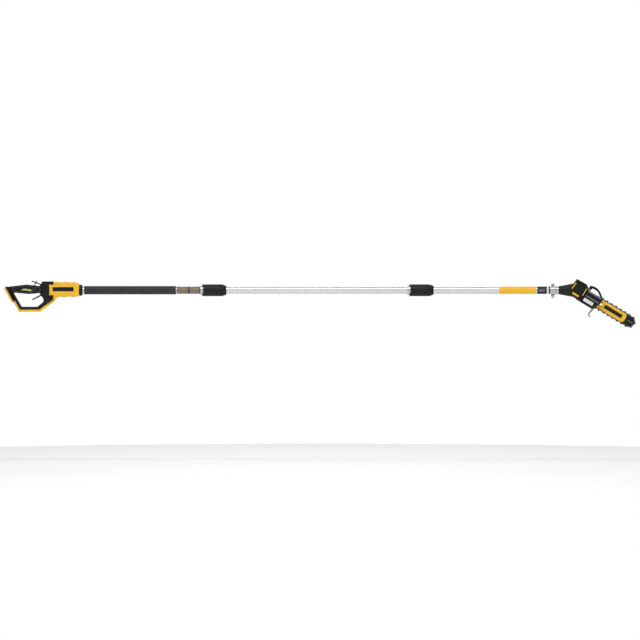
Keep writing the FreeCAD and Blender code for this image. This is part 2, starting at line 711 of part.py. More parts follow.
def prism(points, start, length, frame=None):
    """A flat outline in the side view, given depth along +Y."""
    spots = [FreeCAD.Vector(a, start, b) for a, b in points]
    face = Part.Face(Part.makePolygon(spots + spots[:1]))
    solid = face.extrude(FreeCAD.Vector(0, length, 0))
    if frame is not None:
        solid = solid.transformed(frame.toMatrix())
    return solid


handle_frame = FreeCAD.Placement(BODY, FreeCAD.Rotation())
INLAY = ((-285, 0), (-270, 8), (-236, 3), (-231, -2), (-236, -4.5), (-262, -1.5))
inlay_depth = 0.8
half = size("shell_half")
compound("grip_inlays", [
    prism(INLAY, half, inlay_depth, handle_frame), prism(INLAY, -half - inlay_depth, inlay_depth, handle_frame),
])
CONTACT = ((-345.2, -19.4), (-346.6, -20.2), (-341, -30.6), (-339.6, -29.8))
compound("battery_contacts", [prism(CONTACT, y, 0.8, handle_frame) for y in (-9.0, -4.0, 3.2, 8.2)])

# ---------------------------------------------------------------- neck and hanger

AT_NECK = (NECK_X, "0", "0")
ring_of_revolution("yellow_band", tube_profile("-292", "-110", GRIP_IN, "pole_radius + 0.6"), AT_NECK)
ring_of_revolution("black_band", tube_profile("-105", "-41", GRIP_IN, "pole_radius + 0.6"), AT_NECK)
ring_of_revolution("neck_casting", [
    ("-16.6", GRIP_IN), ("-0.3", GRIP_IN), ("-0.3", "neck_radius + 0.4"), ("-9", "neck_radius + 0.9"),
    ("-15", "neck_radius + 1.4"), ("-16.6", "neck_radius"),
], AT_NECK)

clamp = new_body()
turned(clamp, tube_profile("-39", "-17", "pole_radius - 2", "pole_radius + 4"))
LUG_TOP = "pole_radius + 13"
LUG_FOOT = "-pole_radius - 12"
lug = [("-36", LUG_FOOT), ("-20", LUG_FOOT), ("-20", LUG_TOP), ("-36", LUG_TOP)]
pad(clamp, sketch(clamp, "XZ_Plane", [lug]), "16", both=True)
EYE_FOOT = "-pole_radius - 25"
EYE_SIDE = "-pole_radius - 19"
EYE_ROOT = "-pole_radius - 10"
eye = [("-28", EYE_FOOT), ("-22", EYE_SIDE), ("-22", EYE_ROOT), ("-34", EYE_ROOT), ("-34", EYE_SIDE)]
pad(clamp, sketch(clamp, "XZ_Plane", [eye]), "5", both=True)
grooved(clamp, tube_profile("-45", "-11", "0", GRIP_IN))
pocket(clamp, sketch(clamp, "XZ_Plane", circles=[("-28", "-pole_radius - 18.5", "3.2")]), "20", both=True)
CLAMP_BOLTS = ("pole_radius + 9", "-pole_radius - 7.5")
bolt_holes = [("-28", height, "2.6") for height in CLAMP_BOLTS]
pocket(clamp, sketch(clamp, "XZ_Plane", circles=bolt_holes), "20", both=True)
split = [
    ("-45", "pole_radius - 1"), ("-15", "pole_radius - 1"), ("-15", "pole_radius + 22"),
    ("-45", "pole_radius + 22"),
]
pocket(clamp, sketch(clamp, "XZ_Plane", [split]), "1.4", both=True)
place(clamp, AT_NECK)
keep(clamp, "hanger_clamp")

cone = new_body()
turned(cone, [
    ("0", GRIP_IN), ("31", GRIP_IN), ("31", "loom_radius + 2"), ("41", "loom_radius + 2"),
    ("41", "0"), ("125", "0"),
    ("125", "neck_root"), ("neck_length", "neck_root"), ("neck_length*0.3", "neck_radius + 4.6"),
    ("2", "neck_radius + 0.6"), ("0", "neck_radius"),
])
place(cone, AT_NECK)
cone.Label = "neck_blank"
cutter = new_body()
pad(cutter, sketch(cutter, "XZ_Plane", [[
    ("-168.2", "-14"), ("-161.2", "45"), ("-120", "90"), ("40", "90"), ("40", "-90"), ("-100", "-90"),
    ("-131", "-39.2"),
]]), "160", both=True)
place_head(cutter)
cutter.Label = "neck_cutter"
boot = doc.addObject("Part::Cut", "Cut")
boot.Base = cone
boot.Tool = cutter
doc.recompute()
keep(boot, "neck_boot")

# ---------------------------------------------------------------- saw head housings

SIDE_Y = "plate_face - plate_depth"
HEAD_SCREWS = ((-150, 36), (-103, -33), (-113, 37))


def head_shell(label, outer, inner, depth, far, wall="shell_wall"):
    """One hollow half of the saw head, open towards the gear plate."""
    body = new_body()
    side = 1 if far else -1
    pad(body, sketch(body, "XZ_Plane", [outline(outer)]), depth, far)
    soften(body, "5", in_side(side * size(depth)))
    pocket(body, sketch(body, "XZ_Plane", [outline(inner)]), f"{depth} - {wall}", far)
    return body


motor_right = head_shell("motor_case_right", "motor_case", "motor_bay", "near_depth", False)
screw_holes = [(str(a), str(b), "screw_hole") for a, b in HEAD_SCREWS]
pocket(motor_right, sketch(motor_right, "XZ_Plane", circles=screw_holes), "near_depth + 5")
place_head(motor_right, y=SIDE_Y)
keep(motor_right, "motor_case_right")
motor_left = head_shell("motor_case_left", "far_case", "far_bay", "far_depth", True)
place_head(motor_left, y=SIDE_Y)
keep(motor_left, "motor_case_left")

cover = head_shell("ribbed_cover", "cover", "cover_bay", "cover_depth", False)
RIB_FEET = ("-7.2", "-0.7", "5.8", "12.3", "18.8")
ribs = [[("-86", v), ("-10", v), ("-10", f"{v} + 3"), ("-86", f"{v} + 3")] for v in RIB_FEET]
pad(cover, raise_sketch(sketch(cover, "XZ_Plane", ribs), "cover_depth - 0.5"), "1.7")
filler_hole = raise_sketch(sketch(cover, "XY_Plane", circles=[("-81", "-18", "6.1")]), "30")
pocket_along(cover, filler_hole, "12")
screw_hole = raise_sketch(sketch(cover, "YZ_Plane", circles=[("-7", "14", "2.5 + shaft_gap")]), "5")
pocket_along(cover, screw_hole, "14")
place_head(cover, y=SIDE_Y)
keep(cover, "ribbed_cover")

gear_plate = new_body()
pad(gear_plate, sketch(gear_plate, "XZ_Plane", [outline("plate")]), "plate_depth", True)
hub = raise_sketch(sketch(gear_plate, "XZ_Plane", circles=[("sprocket_u", "0", "12")]), "3")
pad(gear_plate, hub, "plate_depth + 5", True)
bearing_hole = raise_sketch(sketch(gear_plate, "XZ_Plane", circles=[("sprocket_u", "0", "9")]), "5")
pocket(gear_plate, bearing_hole, "20", True)
holes = [("-33", "0", "3.1"), ("-12", "0", "3.1"), ("-29", "-13", "2.1"), ("-23", "-13", "2.1")]
pocket(gear_plate, sketch(gear_plate, "XZ_Plane", circles=holes), "10", True)
place_head(gear_plate, y=SIDE_Y)
keep(gear_plate, "gear_plate")

chain_cover = head_shell("sprocket_cover", "chain_cover", "chain_bay", "sprocket_cover_depth", True)
notch = [("-36", "-45"), ("-2", "-45"), ("-2", "-30"), ("-36", "-30")]
pocket(chain_cover, sketch(chain_cover, "XZ_Plane", [notch]), "4", True)
bolt_holes = [("-33", "0", "3.1"), ("-12", "0", "3.1")]
pocket(chain_cover, sketch(chain_cover, "XZ_Plane", circles=bolt_holes), "40", True)
place_head(chain_cover, y="plate_face + 0.1")
keep(chain_cover, "sprocket_cover")

bow = new_body()
pad(bow, sketch(bow, "XZ_Plane", [outline("bow")]), "10", both=True)
soften(bow, "2.6", in_side(5))
soften(bow, "2.6", in_side(-5))
place_head(bow)
keep(bow, "guard_bow")

hook = new_body()
pad(hook, sketch(hook, "XZ_Plane", [outline("hook")]), "2.5", True)
pocket(hook, sketch(hook, "XZ_Plane", circles=[("-29", "-13", "2.1"), ("-23", "-13", "2.1")]), "10", True)
place_head(hook, y="plate_face + 0.1")
keep(hook, "branch_hook")

tank = new_body()
pad(tank, sketch(tank, "XZ_Plane", [outline("tank")]), "16.5")
filler = raise_sketch(sketch(tank, "XY_Plane", circles=[("-81", "-6.5", "6")]), "18")
pad(tank, filler, "23")
place_head(tank, y="-10.5")
keep(tank, "oil_tank")

cap = new_body()
turned(cap, [
    ("36", "6 + running_gap"), ("36", "8"), ("48.5", "8"), ("50", "6.5"), ("50", "0"), ("41.4", "0"),
    ("41.4", "6 + running_gap"),
], "V_Axis")
grip = [("-6", "49"), ("6", "49"), ("6", "53"), ("-6", "53")]
pad(cap, sketch(cap, "XZ_Plane", [grip]), "3", both=True)
place(cap, at_head("-81", "-17", "0"), "head_angle")
keep(cap, "oil_cap")

ring_of_revolution("tension_screw", [
    ("-30", "0"), ("0.8", "0"), ("0.8", "4"), ("-1.7", "4"), ("-1.7", "2.5"), ("-30", "2.5"),
], at_head("0", "-6", "14"), angle="head_angle")

# ---------------------------------------------------------------- motor and reduction gears

MOTOR_U = "sprocket_u - gear_module*(pinion_teeth + gear_teeth)/2"
ring_of_revolution("stator", [
    ("-32", "8 + fit_gap"), ("-32", "motor_radius"), ("-10.5", "motor_radius"), ("-10.5", "8 + fit_gap"),
    ("-12", "8 + fit_gap"), ("-12", "16.3"), ("-30.5", "16.3"), ("-30.5", "8 + fit_gap"),
], at_head(MOTOR_U, "0", "0"), "V_Axis", "head_angle", "XY_Plane")
ring_of_revolution("rotor_core", tube_profile("-29.5", "-13", "motor_shaft + fit_gap", "15.8"),
                   at_head(MOTOR_U, "0", "0"), "V_Axis", "head_angle", "XY_Plane")

head_turn = FreeCAD.Rotation(FreeCAD.Vector(0, 1, 0), size("head_angle"))
head_frame = FreeCAD.Placement(FreeCAD.Vector(*(size(text) for text in at_head("0", "0", "0"))), head_turn)
FULL = 2 * math.pi


def gear(teeth, module, face, y, bore, centre, phase):
    """A spur gear with involute flanks, as a solid in the head's frame."""
    pitch = module * teeth / 2
    base = pitch * math.cos(math.radians(20))
    tip = pitch + module * 0.9
    root = pitch - module * 1.2
    backlash = 0.25 / pitch
    roll = math.tan(math.radians(20)) - math.radians(20)
    half_tooth = FULL / teeth / 4 + roll - backlash / 2
    points = []
    steps = 5
    for tooth in range(int(teeth)):
        middle = phase + FULL * tooth / teeth
        flank = []
        for step in range(steps + 1):
            radius = max(base, root) + (tip - max(base, root)) * step / steps
            pressure = math.acos(min(1.0, base / radius))
            flank.append((radius, half_tooth - (math.tan(pressure) - pressure)))
        points.append((root, middle - half_tooth))
        points += [(radius, middle - angle) for radius, angle in flank]
        points += [(radius, middle + angle) for radius, angle in reversed(flank)]
        points.append((root, middle + half_tooth))
    spots = [FreeCAD.Vector(centre + r * math.cos(a), y, r * math.sin(a)) for r, a in points]
    face_shape = Part.Face(Part.makePolygon(spots + spots[:1]))
    solid = face_shape.extrude(FreeCAD.Vector(0, face, 0))
    if bore:
        solid = solid.cut(rod(FreeCAD.Vector(centre, y - 1, 0), ACROSS, face + 2, bore))
    return solid


def in_head(shape):
    return shape.transformed(head_frame.toMatrix())


gear_face = size("gear_face")
module = size("gear_module")
motor_u = size(MOTOR_U)
sprocket_u = size("sprocket_u")
GEAR_Y = -9.0
pinion = gear(size("pinion_teeth"), module, gear_face, GEAR_Y, 0, motor_u, 0)
shaft = rod(FreeCAD.Vector(motor_u, -32, 0), ACROSS, 32 + GEAR_Y + gear_face, size("motor_shaft"))
compound("motor_shaft", [in_head(shaft.fuse(pinion))])
gap_phase = math.pi + FULL / size("gear_teeth") / 2
wheel = gear(size("gear_teeth"), module, gear_face, GEAR_Y, 0, sprocket_u, gap_phase)
shaft = rod(FreeCAD.Vector(sprocket_u, GEAR_Y, 0), ACROSS, 19 - GEAR_Y, size("drive_shaft"))
compound("drive_gear", [in_head(shaft.fuse(wheel))])


def bearing(u, y, width, inner, outer):
    ring = rod(FreeCAD.Vector(u, y, 0), ACROSS, width, outer)
    return in_head(ring.cut(rod(FreeCAD.Vector(u, y - 1, 0), ACROSS, width + 2, inner)))


gap = size("shaft_gap")
compound("bearings", [
    bearing(motor_u, -12, 1.5, size("motor_shaft") + gap, 8.0),
    bearing(motor_u, -32, 1.5, size("motor_shaft") + gap, 8.0),
    bearing(sprocket_u, -2, 9, size("drive_shaft") + gap, 9.0),
])

# ---------------------------------------------------------------- guide bar, chain and sprockets

pitch = size("link_pitch")
links = int(size("chain_links"))
drive_r = size("drive_teeth*link_pitch") / FULL
nose_r = size("nose_teeth*link_pitch") / FULL
strap = size("strap_height")
rail_u = -4.0
lead = math.hypot(rail_u - sprocket_u, nose_r)
tangent = math.sqrt(lead**2 - drive_r**2)
leave = math.atan2(nose_r, rail_u - sprocket_u) + math.acos(drive_r / lead)
arc = drive_r * (math.pi - leave)
nose_u = rail_u + links * pitch / 2 - arc - tangent - math.pi * nose_r / 2
add_size("nose_u", round(nose_u, 4), "centre of the nose, which the chain's length gives")
doc.recompute()


def on_path(s):
    """The point of the chain's middle line at a length s from the back of the drive sprocket."""
    total = links * pitch
    s %= total
    upper = s <= total / 2
    if not upper:
        s = total - s
    if s < arc:
        angle = math.pi - s / drive_r
        u, v = sprocket_u + drive_r * math.cos(angle), drive_r * math.sin(angle)
    elif s < arc + tangent:
        share = (s - arc) / tangent
        start = (sprocket_u + drive_r * math.cos(leave), drive_r * math.sin(leave))
        u, v = (a + (b - a) * share for a, b in zip(start, (rail_u, nose_r)))
    elif s < arc + tangent + nose_u - rail_u:
        u, v = rail_u + s - arc - tangent, nose_r
    else:
        angle = math.pi / 2 - (s - arc - tangent - nose_u + rail_u) / nose_r
        u, v = nose_u + nose_r * math.cos(angle), nose_r * math.sin(angle)
    return (u, v) if upper else (u, -v)


def link_frame(s):
    """Where a link sits: its x runs along the chain and its z points away from the bar."""
    a = on_path(s - pitch / 4)
    b = on_path(s + pitch / 4)
    turn = math.degrees(math.atan2(b[1] - a[1], b[0] - a[0]))
    spot = FreeCAD.Vector((a[0] + b[0]) / 2, size("bar_plane"), (a[1] + b[1]) / 2)
    return FreeCAD.Placement(spot, FreeCAD.Rotation(FreeCAD.Vector(0, 1, 0), -turn))


def capsule(y, depth, extra=()):
    """A side or drive link's plate round its two rivets, with any outline below or above it."""
    half = pitch / 4
    round_r = strap / 2
    spots = []
    for side in (1, -1):
        for step in range(7):
            angle = math.pi / 2 - math.pi * step / 6
            spots.append((side * (half + round_r * math.cos(angle)), side * round_r * math.sin(angle)))
    shape = prism(spots, y, depth)
    for outline_points, start, thickness in extra:
        shape = shape.fuse(prism(outline_points, start, thickness))
    return shape


tang_t = size("tang_thickness")
strap_t = size("strap_thickness")
top = strap / 2 + size("cutter_height")
TANG = ((-3.4, -1.8), (3.4, -1.8), (1.2, -7.0), (-1.2, -7.0))
TOOTH = ((-4.6, 1.5), (4.6, 1.5), (5.2, top), (-3.0, top - 0.8))
TOP_PLATE = ((-3.0, top - 1.9), (5.1, top - 1.1), (5.2, top), (-3.0, top - 0.8))
GAUGE = ((-5.6, 1.5), (-3.4, 1.5), (-4.2, top - 1.6), (-5.4, top - 2.2))


def chain_shapes():
    drive = capsule(-tang_t / 2, tang_t, [(TANG, -tang_t / 2, tang_t)])
    right = capsule(-tang_t / 2 - strap_t, strap_t)
    left = capsule(tang_t / 2, strap_t)
    near = -tang_t / 2 - strap_t
    cutter_right = capsule(near, strap_t, [(TOOTH, near, strap_t), (TOP_PLATE, near - 1.2, strap_t + 1.2)])
    left_tooth = [(TOOTH, tang_t / 2, strap_t), (TOP_PLATE, tang_t / 2, strap_t + 1.2)]
    cutter_left = capsule(tang_t / 2, strap_t, left_tooth)
    shapes = []
    for number in range(links):
        middle = link_frame(number * pitch)
        after = link_frame((number + 0.5) * pitch)
        kind = number % 4
        sides = (cutter_right if kind == 0 else right, cutter_left if kind == 2 else left)
        shapes.append((drive, middle))
        shapes += [(side, after) for side in sides]
    return [in_head(shape.transformed(frame.toMatrix())) for shape, frame in shapes]


compound("saw_chain", chain_shapes())


def sprocket(teeth, root, tip, root_half, tip_half, thickness, bore, centre):
    """A flat sprocket whose teeth stand between the chain's tangs."""
    step = FULL / teeth
    points = []
    for tooth in range(int(teeth)):
        middle = math.pi + step * (tooth + 0.5)
        points += [(root, middle - root_half), (tip, middle - tip_half), (tip, middle + tip_half)]
        points.append((root, middle + root_half))
    y = size("bar_plane") - thickness / 2
    spots = [FreeCAD.Vector(centre + r * math.cos(a), y, r * math.sin(a)) for r, a in points]
    solid = Part.Face(Part.makePolygon(spots + spots[:1])).extrude(FreeCAD.Vector(0, thickness, 0))
    return solid.cut(rod(FreeCAD.Vector(centre, y - 1, 0), ACROSS, thickness + 2, bore))


TANG_REACH = 7.0
TIP_ROOM = strap / 2 + 0.7
DRIVE_TOOTH = (math.radians(12), math.radians(7))
NOSE_TOOTH = (math.radians(7.9), math.radians(4.6))
star = sprocket(size("drive_teeth"), drive_r - TANG_REACH - 0.9, drive_r - TIP_ROOM, *DRIVE_TOOTH, 5.0,
                size("drive_shaft") + size("fit_gap"), sprocket_u)
compound("drive_sprocket", [in_head(star)])
nose = sprocket(size("nose_teeth"), nose_r - TANG_REACH - 0.7, nose_r - TIP_ROOM, *NOSE_TOOTH, tang_t,
                4 + size("shaft_gap"), nose_u)
turn_nose = math.pi if links % 2 == 0 else math.pi + math.pi / size("nose_teeth")
nose.rotate(FreeCAD.Vector(nose_u, 0, 0), ACROSS, math.degrees(-turn_nose))
compound("nose_sprocket", [in_head(nose)])

bar = new_body()
bar_points = outline("bar")
bar_points[3] = ("nose_u", "bar_b_4_")
bar_points[4] = ("nose_u", "bar_b_5_")
pad(bar, sketch(bar, "XZ_Plane", [bar_points]), "bar_thickness", both=True)
pad(bar, sketch(bar, "XZ_Plane", circles=[("nose_u", "0", "bar_b_4_")]), "bar_thickness", both=True)


def groove_strip(side):
    inner = f"{side}(bar_b_4_ - groove_depth)"
    return [
        ("-60", f"{side}6"), ("-46", f"{side}(bar_b_2_ - groove_depth)"), ("-4", inner), ("nose_u", inner),
        ("nose_u", f"{side}30"), ("-60", f"{side}30"),
    ]


pocket(bar, sketch(bar, "XZ_Plane", [groove_strip("")]), "bar_groove", both=True)
pocket(bar, sketch(bar, "XZ_Plane", [groove_strip("-1*")]), "bar_groove", both=True)
nose_slot = sketch(bar, "XZ_Plane", circles=[("nose_u", "0", "25"), ("nose_u", "0", "4")])
pocket(bar, nose_slot, "bar_groove", both=True)
bolt_slot = [
    ("-42", "-4.3"), ("8", "-4.3"), ("11", "-1.8"), ("11", "1.8"), ("8", "4.3"), ("-42", "4.3"),
    ("-45", "1.8"),
    ("-45", "-1.8"),
]
pocket(bar, sketch(bar, "XZ_Plane", [bolt_slot]), "20", both=True)
pocket(bar, sketch(bar, "XZ_Plane", circles=[("-30", "-10.5", "2.4")]), "20", both=True)
place_head(bar, y="bar_plane")
keep(bar, "guide_bar")

# ---------------------------------------------------------------- fasteners and trim of the head


def hexagon(u, y, v, length, across):
    points = [(u + across * math.cos(math.radians(60 * i)), v + across * math.sin(math.radians(60 * i)))
              for i in range(6)]
    return prism(points, y, length)


cover_face = size("plate_face + sprocket_cover_depth") + 0.1


def bar_bolt(u):
    head = hexagon(u, cover_face + 1.2, 0, 5, 6.5)
    washer = rod(FreeCAD.Vector(u, cover_face, 0), ACROSS, 1.2, 8)
    shank = rod(FreeCAD.Vector(u, cover_face, 0), -ACROSS, cover_face - 0.5, 3)
    return in_head(head.fuse(washer).fuse(shank))


compound("bar_bolts", [bar_bolt(-33), bar_bolt(-12)])


def head_screw(u, v, y, side, grip, shank_r, head_r=3.2, head_h=1.5):
    """A screw whose head stands on the face at y, on the side it is driven from."""
    out = FreeCAD.Vector(0, side, 0)
    spot = FreeCAD.Vector(u, y, v)
    return in_head(rod(spot, out, head_h, head_r).fuse(rod(spot, -out, grip, shank_r)))


neck = FreeCAD.Vector(size(NECK_X), 0, 0)


def clamp_bolt(z):
    """A bolt across the hanger clamp, with its nut."""
    spot = neck + FreeCAD.Vector(-28, -8, z)
    shank = rod(spot, ACROSS, 16, 2.5)
    head = rod(spot, -ACROSS, 3, 4.4)
    nut = rod(spot + ACROSS * 16, ACROSS, 3, 4.4)
    return shank.fuse(head).fuse(nut)


near_face = size(f"{SIDE_Y} - near_depth")
screws = [head_screw(u, v, near_face, -1, 2.6, 1.6) for u, v in HEAD_SCREWS]
hook_face = size("plate_face") + 2.6
screws += [head_screw(u, -13, hook_face, 1, 6, 2.0, 2.8, 1.6) for u in (-29, -23)]
screws += [clamp_bolt(size(height)) for height in CLAMP_BOLTS]
compound("head_screws", screws)

ACCENTS = (
    ((-158, 27), (-153.5, 27), (-157, -8), (-161.5, -8)),
    ((-99, -11), (-95.4, -11), (-95.4, 29), (-99, 29)),
    ((-147, -29), (-112, -29), (-112, -21), (-147, -21)),
)
compound("accent_bars", [in_head(prism(points, near_face - 0.8, 0.8)) for points in ACCENTS])

bad = []
doc.recompute()
for item in doc.Objects:
    if "Invalid" in item.State or "Error" in item.State:
        bad.append(item.Label)
for item in made:
    shape = item.Shape
    if shape.isNull() or not shape.isValid():
        bad.append(item.Label)
if bad:
    raise RuntimeError("failed: " + ", ".join(bad))
os.makedirs("parts", exist_ok=True)
for item in made:
    item.Shape.exportStep(f"parts/{item.Label}.step")
print(len(made), "sub-parts; the nose is at", size("nose_u"))
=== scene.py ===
import json
import math

import bmesh
import bpy
from mathutils import Matrix, Vector


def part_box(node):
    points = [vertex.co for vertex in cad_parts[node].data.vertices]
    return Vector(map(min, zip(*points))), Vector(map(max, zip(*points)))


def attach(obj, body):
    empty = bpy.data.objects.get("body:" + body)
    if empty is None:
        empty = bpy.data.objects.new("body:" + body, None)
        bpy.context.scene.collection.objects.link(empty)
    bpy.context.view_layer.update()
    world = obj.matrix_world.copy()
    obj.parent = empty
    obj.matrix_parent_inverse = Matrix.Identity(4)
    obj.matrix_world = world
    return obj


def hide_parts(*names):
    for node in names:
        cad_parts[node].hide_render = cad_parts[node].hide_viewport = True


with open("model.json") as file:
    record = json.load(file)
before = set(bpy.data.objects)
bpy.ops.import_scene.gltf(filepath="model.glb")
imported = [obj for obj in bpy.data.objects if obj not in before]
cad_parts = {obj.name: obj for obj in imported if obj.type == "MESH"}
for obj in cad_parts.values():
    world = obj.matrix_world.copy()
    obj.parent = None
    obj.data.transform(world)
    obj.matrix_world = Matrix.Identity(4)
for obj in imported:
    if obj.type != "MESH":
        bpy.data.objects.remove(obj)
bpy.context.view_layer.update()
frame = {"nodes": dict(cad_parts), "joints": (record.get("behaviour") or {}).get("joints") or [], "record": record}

# A sectional cordless pole saw: the finish of its pieces, the finer pieces that stand for some of
# them, and a plain studio. Metres, with +X along the pole towards the saw and +Z up.

bl_info = {
    "name": "Sectional pole saw",
    "version": (1, 0, 0),
    "blender": (4, 5, 0),
    "location": "View3D > Sidebar > Pole saw",
    "description": "Builds the finished pieces of a sectional cordless pole saw and its studio",
    "category": "Object",
}

NODES = frame["nodes"]
JOINTS = {joint["name"]: joint for joint in frame["joints"]}
MM = 0.001


# ------------------------------------------------------------------ places read from the frame


def low(node):
    return Vector(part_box(node)[0])


def high(node):
    return Vector(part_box(node)[1])


def middle(node):
    return (low(node) + high(node)) / 2


HANDLE_X = high("front_housing_right").x
NECK_X = low("neck_boot").x
BAR_Y = middle("nose_sprocket").y
DRIVE_BACK = 84 * MM  # from the drive sprocket's axis forward to the start of the bar's frame


def bar_frame():
    """The frame of the guide bar, whose x runs along the bar and z across it, and the nose's x."""
    axis = Vector(JOINTS["tension_screw_turn"]["axis"]).normalized()
    nose = Vector(JOINTS["nose_spin"]["pos_m"])
    hub = Vector(JOINTS["sprocket_spin"]["pos_m"])
    up = Vector((-axis.z, 0.0, axis.x))
    start = hub + axis * DRIVE_BACK
    turn = Matrix((axis, Vector((0, 1, 0)), up)).transposed().to_4x4()
    return Matrix.Translation(Vector((start.x, 0.0, start.z))) @ turn, (nose - start).dot(axis)


HEAD, NOSE_U = bar_frame()
HANDLE = Matrix.Translation(Vector((HANDLE_X, 0, 0)))
WORLD = Matrix.Identity(4)


# ------------------------------------------------------------------ materials


def colour_of(value):
    return (*value, 1.0)


EVEN = (1, 1, 1)
DULL_SPECULAR = 0.22
# A mix node's data type, then the sockets of its two inputs and of its result.
MIX_COLOUR = ("RGBA", 6, 7, 2)
MIX_NUMBER = ("FLOAT", 2, 3, 0)


class Look:
    """A procedural finish, built on one shader."""

    def __init__(self, name, base, roughness, metallic):
        self.material = bpy.data.materials.new(name)
        self.material.use_nodes = True
        self.tree = self.material.node_tree
        self.shader = self.tree.nodes["Principled BSDF"]
        self.base = tuple(base)
        self.shader.inputs["Base Color"].default_value = colour_of(base)
        self.shader.inputs["Roughness"].default_value = roughness
        self.shader.inputs["Metallic"].default_value = metallic
        if metallic == 0.0:
            self.shader.inputs["Specular IOR Level"].default_value = DULL_SPECULAR
        self.material.diffuse_color = colour_of(base)

    def node(self, kind, **inputs):
        item = self.tree.nodes.new(kind)
        for key, value in inputs.items():
            item.inputs[key].default_value = value
        return item

    def link(self, a, b):
        self.tree.links.new(a, b)

    def place(self, stretch=EVEN):
        where = self.node("ShaderNodeTexCoord")
        mapping = self.node("ShaderNodeMapping", Scale=stretch)
        self.link(where.outputs["Object"], mapping.inputs["Vector"])
        return mapping.outputs["Vector"]

    def noise(self, scale, detail, stretch):
        item = self.node("ShaderNodeTexNoise", Scale=scale, Detail=detail)
        self.link(self.place(stretch), item.inputs["Vector"])
        return item.outputs["Fac"]

    def ramp(self, source, stops):
        item = self.node("ShaderNodeValToRGB")
        band = item.color_ramp
        while len(band.elements) < len(stops):
            band.elements.new(0.5)
        for element, (at, value) in zip(band.elements, stops):
            element.position = at
            element.color = colour_of(value)
        self.link(source, item.inputs["Fac"])
        return item.outputs["Color"]

    def mottle(self, scale, amount, stretch=EVEN):
        """Slight changes of tone over the surface."""
        darker = tuple(c * (1 - amount) for c in self.base)
        lighter = tuple(min(1.0, c * (1 + amount * 0.6)) for c in self.base)
        tone = self.ramp(self.noise(scale, 5.0, stretch), [(0.3, darker), (0.7, lighter)])
        self.link(tone, self.shader.inputs["Base Color"])

    def uneven(self, scale, low_rough, high_rough, stretch=EVEN):
        """Roughness that changes over the surface, as handling leaves it."""
        span = self.node("ShaderNodeMapRange")
        span.inputs["To Min"].default_value = low_rough
        span.inputs["To Max"].default_value = high_rough
        self.link(self.noise(scale, 4.0, stretch), span.inputs["Value"])
        self.link(span.outputs["Result"], self.shader.inputs["Roughness"])

    def grain(self, scale, depth, strength, stretch=EVEN):
        """A fine raised texture."""
        bump = self.node("ShaderNodeBump", Strength=strength, Distance=depth)
        self.link(self.noise(scale, 3.0, stretch), bump.inputs["Height"])
        self.link(bump.outputs["Normal"], self.shader.inputs["Normal"])

    def vector(self, operation, *sources):
        item = self.tree.nodes.new("ShaderNodeVectorMath")
        item.operation = operation
        for place, source in zip(item.inputs, sources):
            if isinstance(source, (tuple, list, Vector)):
                place.default_value = source
            else:
                self.link(source, place)
        return item.outputs["Value" if operation in ("DOT_PRODUCT", "LENGTH") else "Vector"]

    def maths(self, operation, *sources):
        item = self.tree.nodes.new("ShaderNodeMath")
        item.operation = operation
        for place, source in zip(item.inputs, sources):
            if isinstance(source, (int, float)):
                place.default_value = source
            else:
                self.link(source, place)
        return item.outputs["Value"]

    def measure(self, frame_of, axis):
        """How far a point lies along one axis of a frame."""
        direction = frame_of.col[axis].xyz
        along = self.vector("DOT_PRODUCT", self.place(), direction)
        return self.maths("SUBTRACT", along, direction.dot(frame_of.translation))

    def inside(self, frame_of, centre, half, radius):
        """One within a rounded rectangle in the side view and nought outside it. Millimetres."""
        spans = []
        for axis, at, reach in zip((0, 2), centre, half):
            along = self.maths("SUBTRACT", self.measure(frame_of, axis), at * MM)
            past = self.maths("SUBTRACT", self.maths("ABSOLUTE", along), (reach - radius) * MM)
            spans.append(self.maths("MAXIMUM", past, 0.0))
        squares = [self.maths("MULTIPLY", span, span) for span in spans]
        return self.maths("LESS_THAN", self.maths("ADD", *squares), (radius * MM) ** 2)

    def between(self, source, start, end):
        """One where the source is between two lengths in millimetres and nought elsewhere."""
        above = self.maths("GREATER_THAN", source, start * MM)
        return self.maths("MULTIPLY", above, self.maths("LESS_THAN", source, end * MM))

    def paint(self, mask, value, rough=None, metal=None):
        """Lays a second colour over the first wherever the mask is one."""
        for socket, new, kind in (("Base Color", colour_of(value), MIX_COLOUR),
                                  ("Roughness", rough, MIX_NUMBER), ("Metallic", metal, MIX_NUMBER)):
            if new is None:
                continue
            data_type, under, over, result = kind
            place = self.shader.inputs[socket]
            mix = self.tree.nodes.new("ShaderNodeMix")
            mix.data_type = data_type
            if place.is_linked:
                self.link(place.links[0].from_socket, mix.inputs[under])
            else:
                mix.inputs[under].default_value = place.default_value
            mix.inputs[over].default_value = new
            self.link(mask, mix.inputs[0])
            self.link(mix.outputs[result], place)


LOOKS = {}


def look(name):
    return LOOKS[name].material


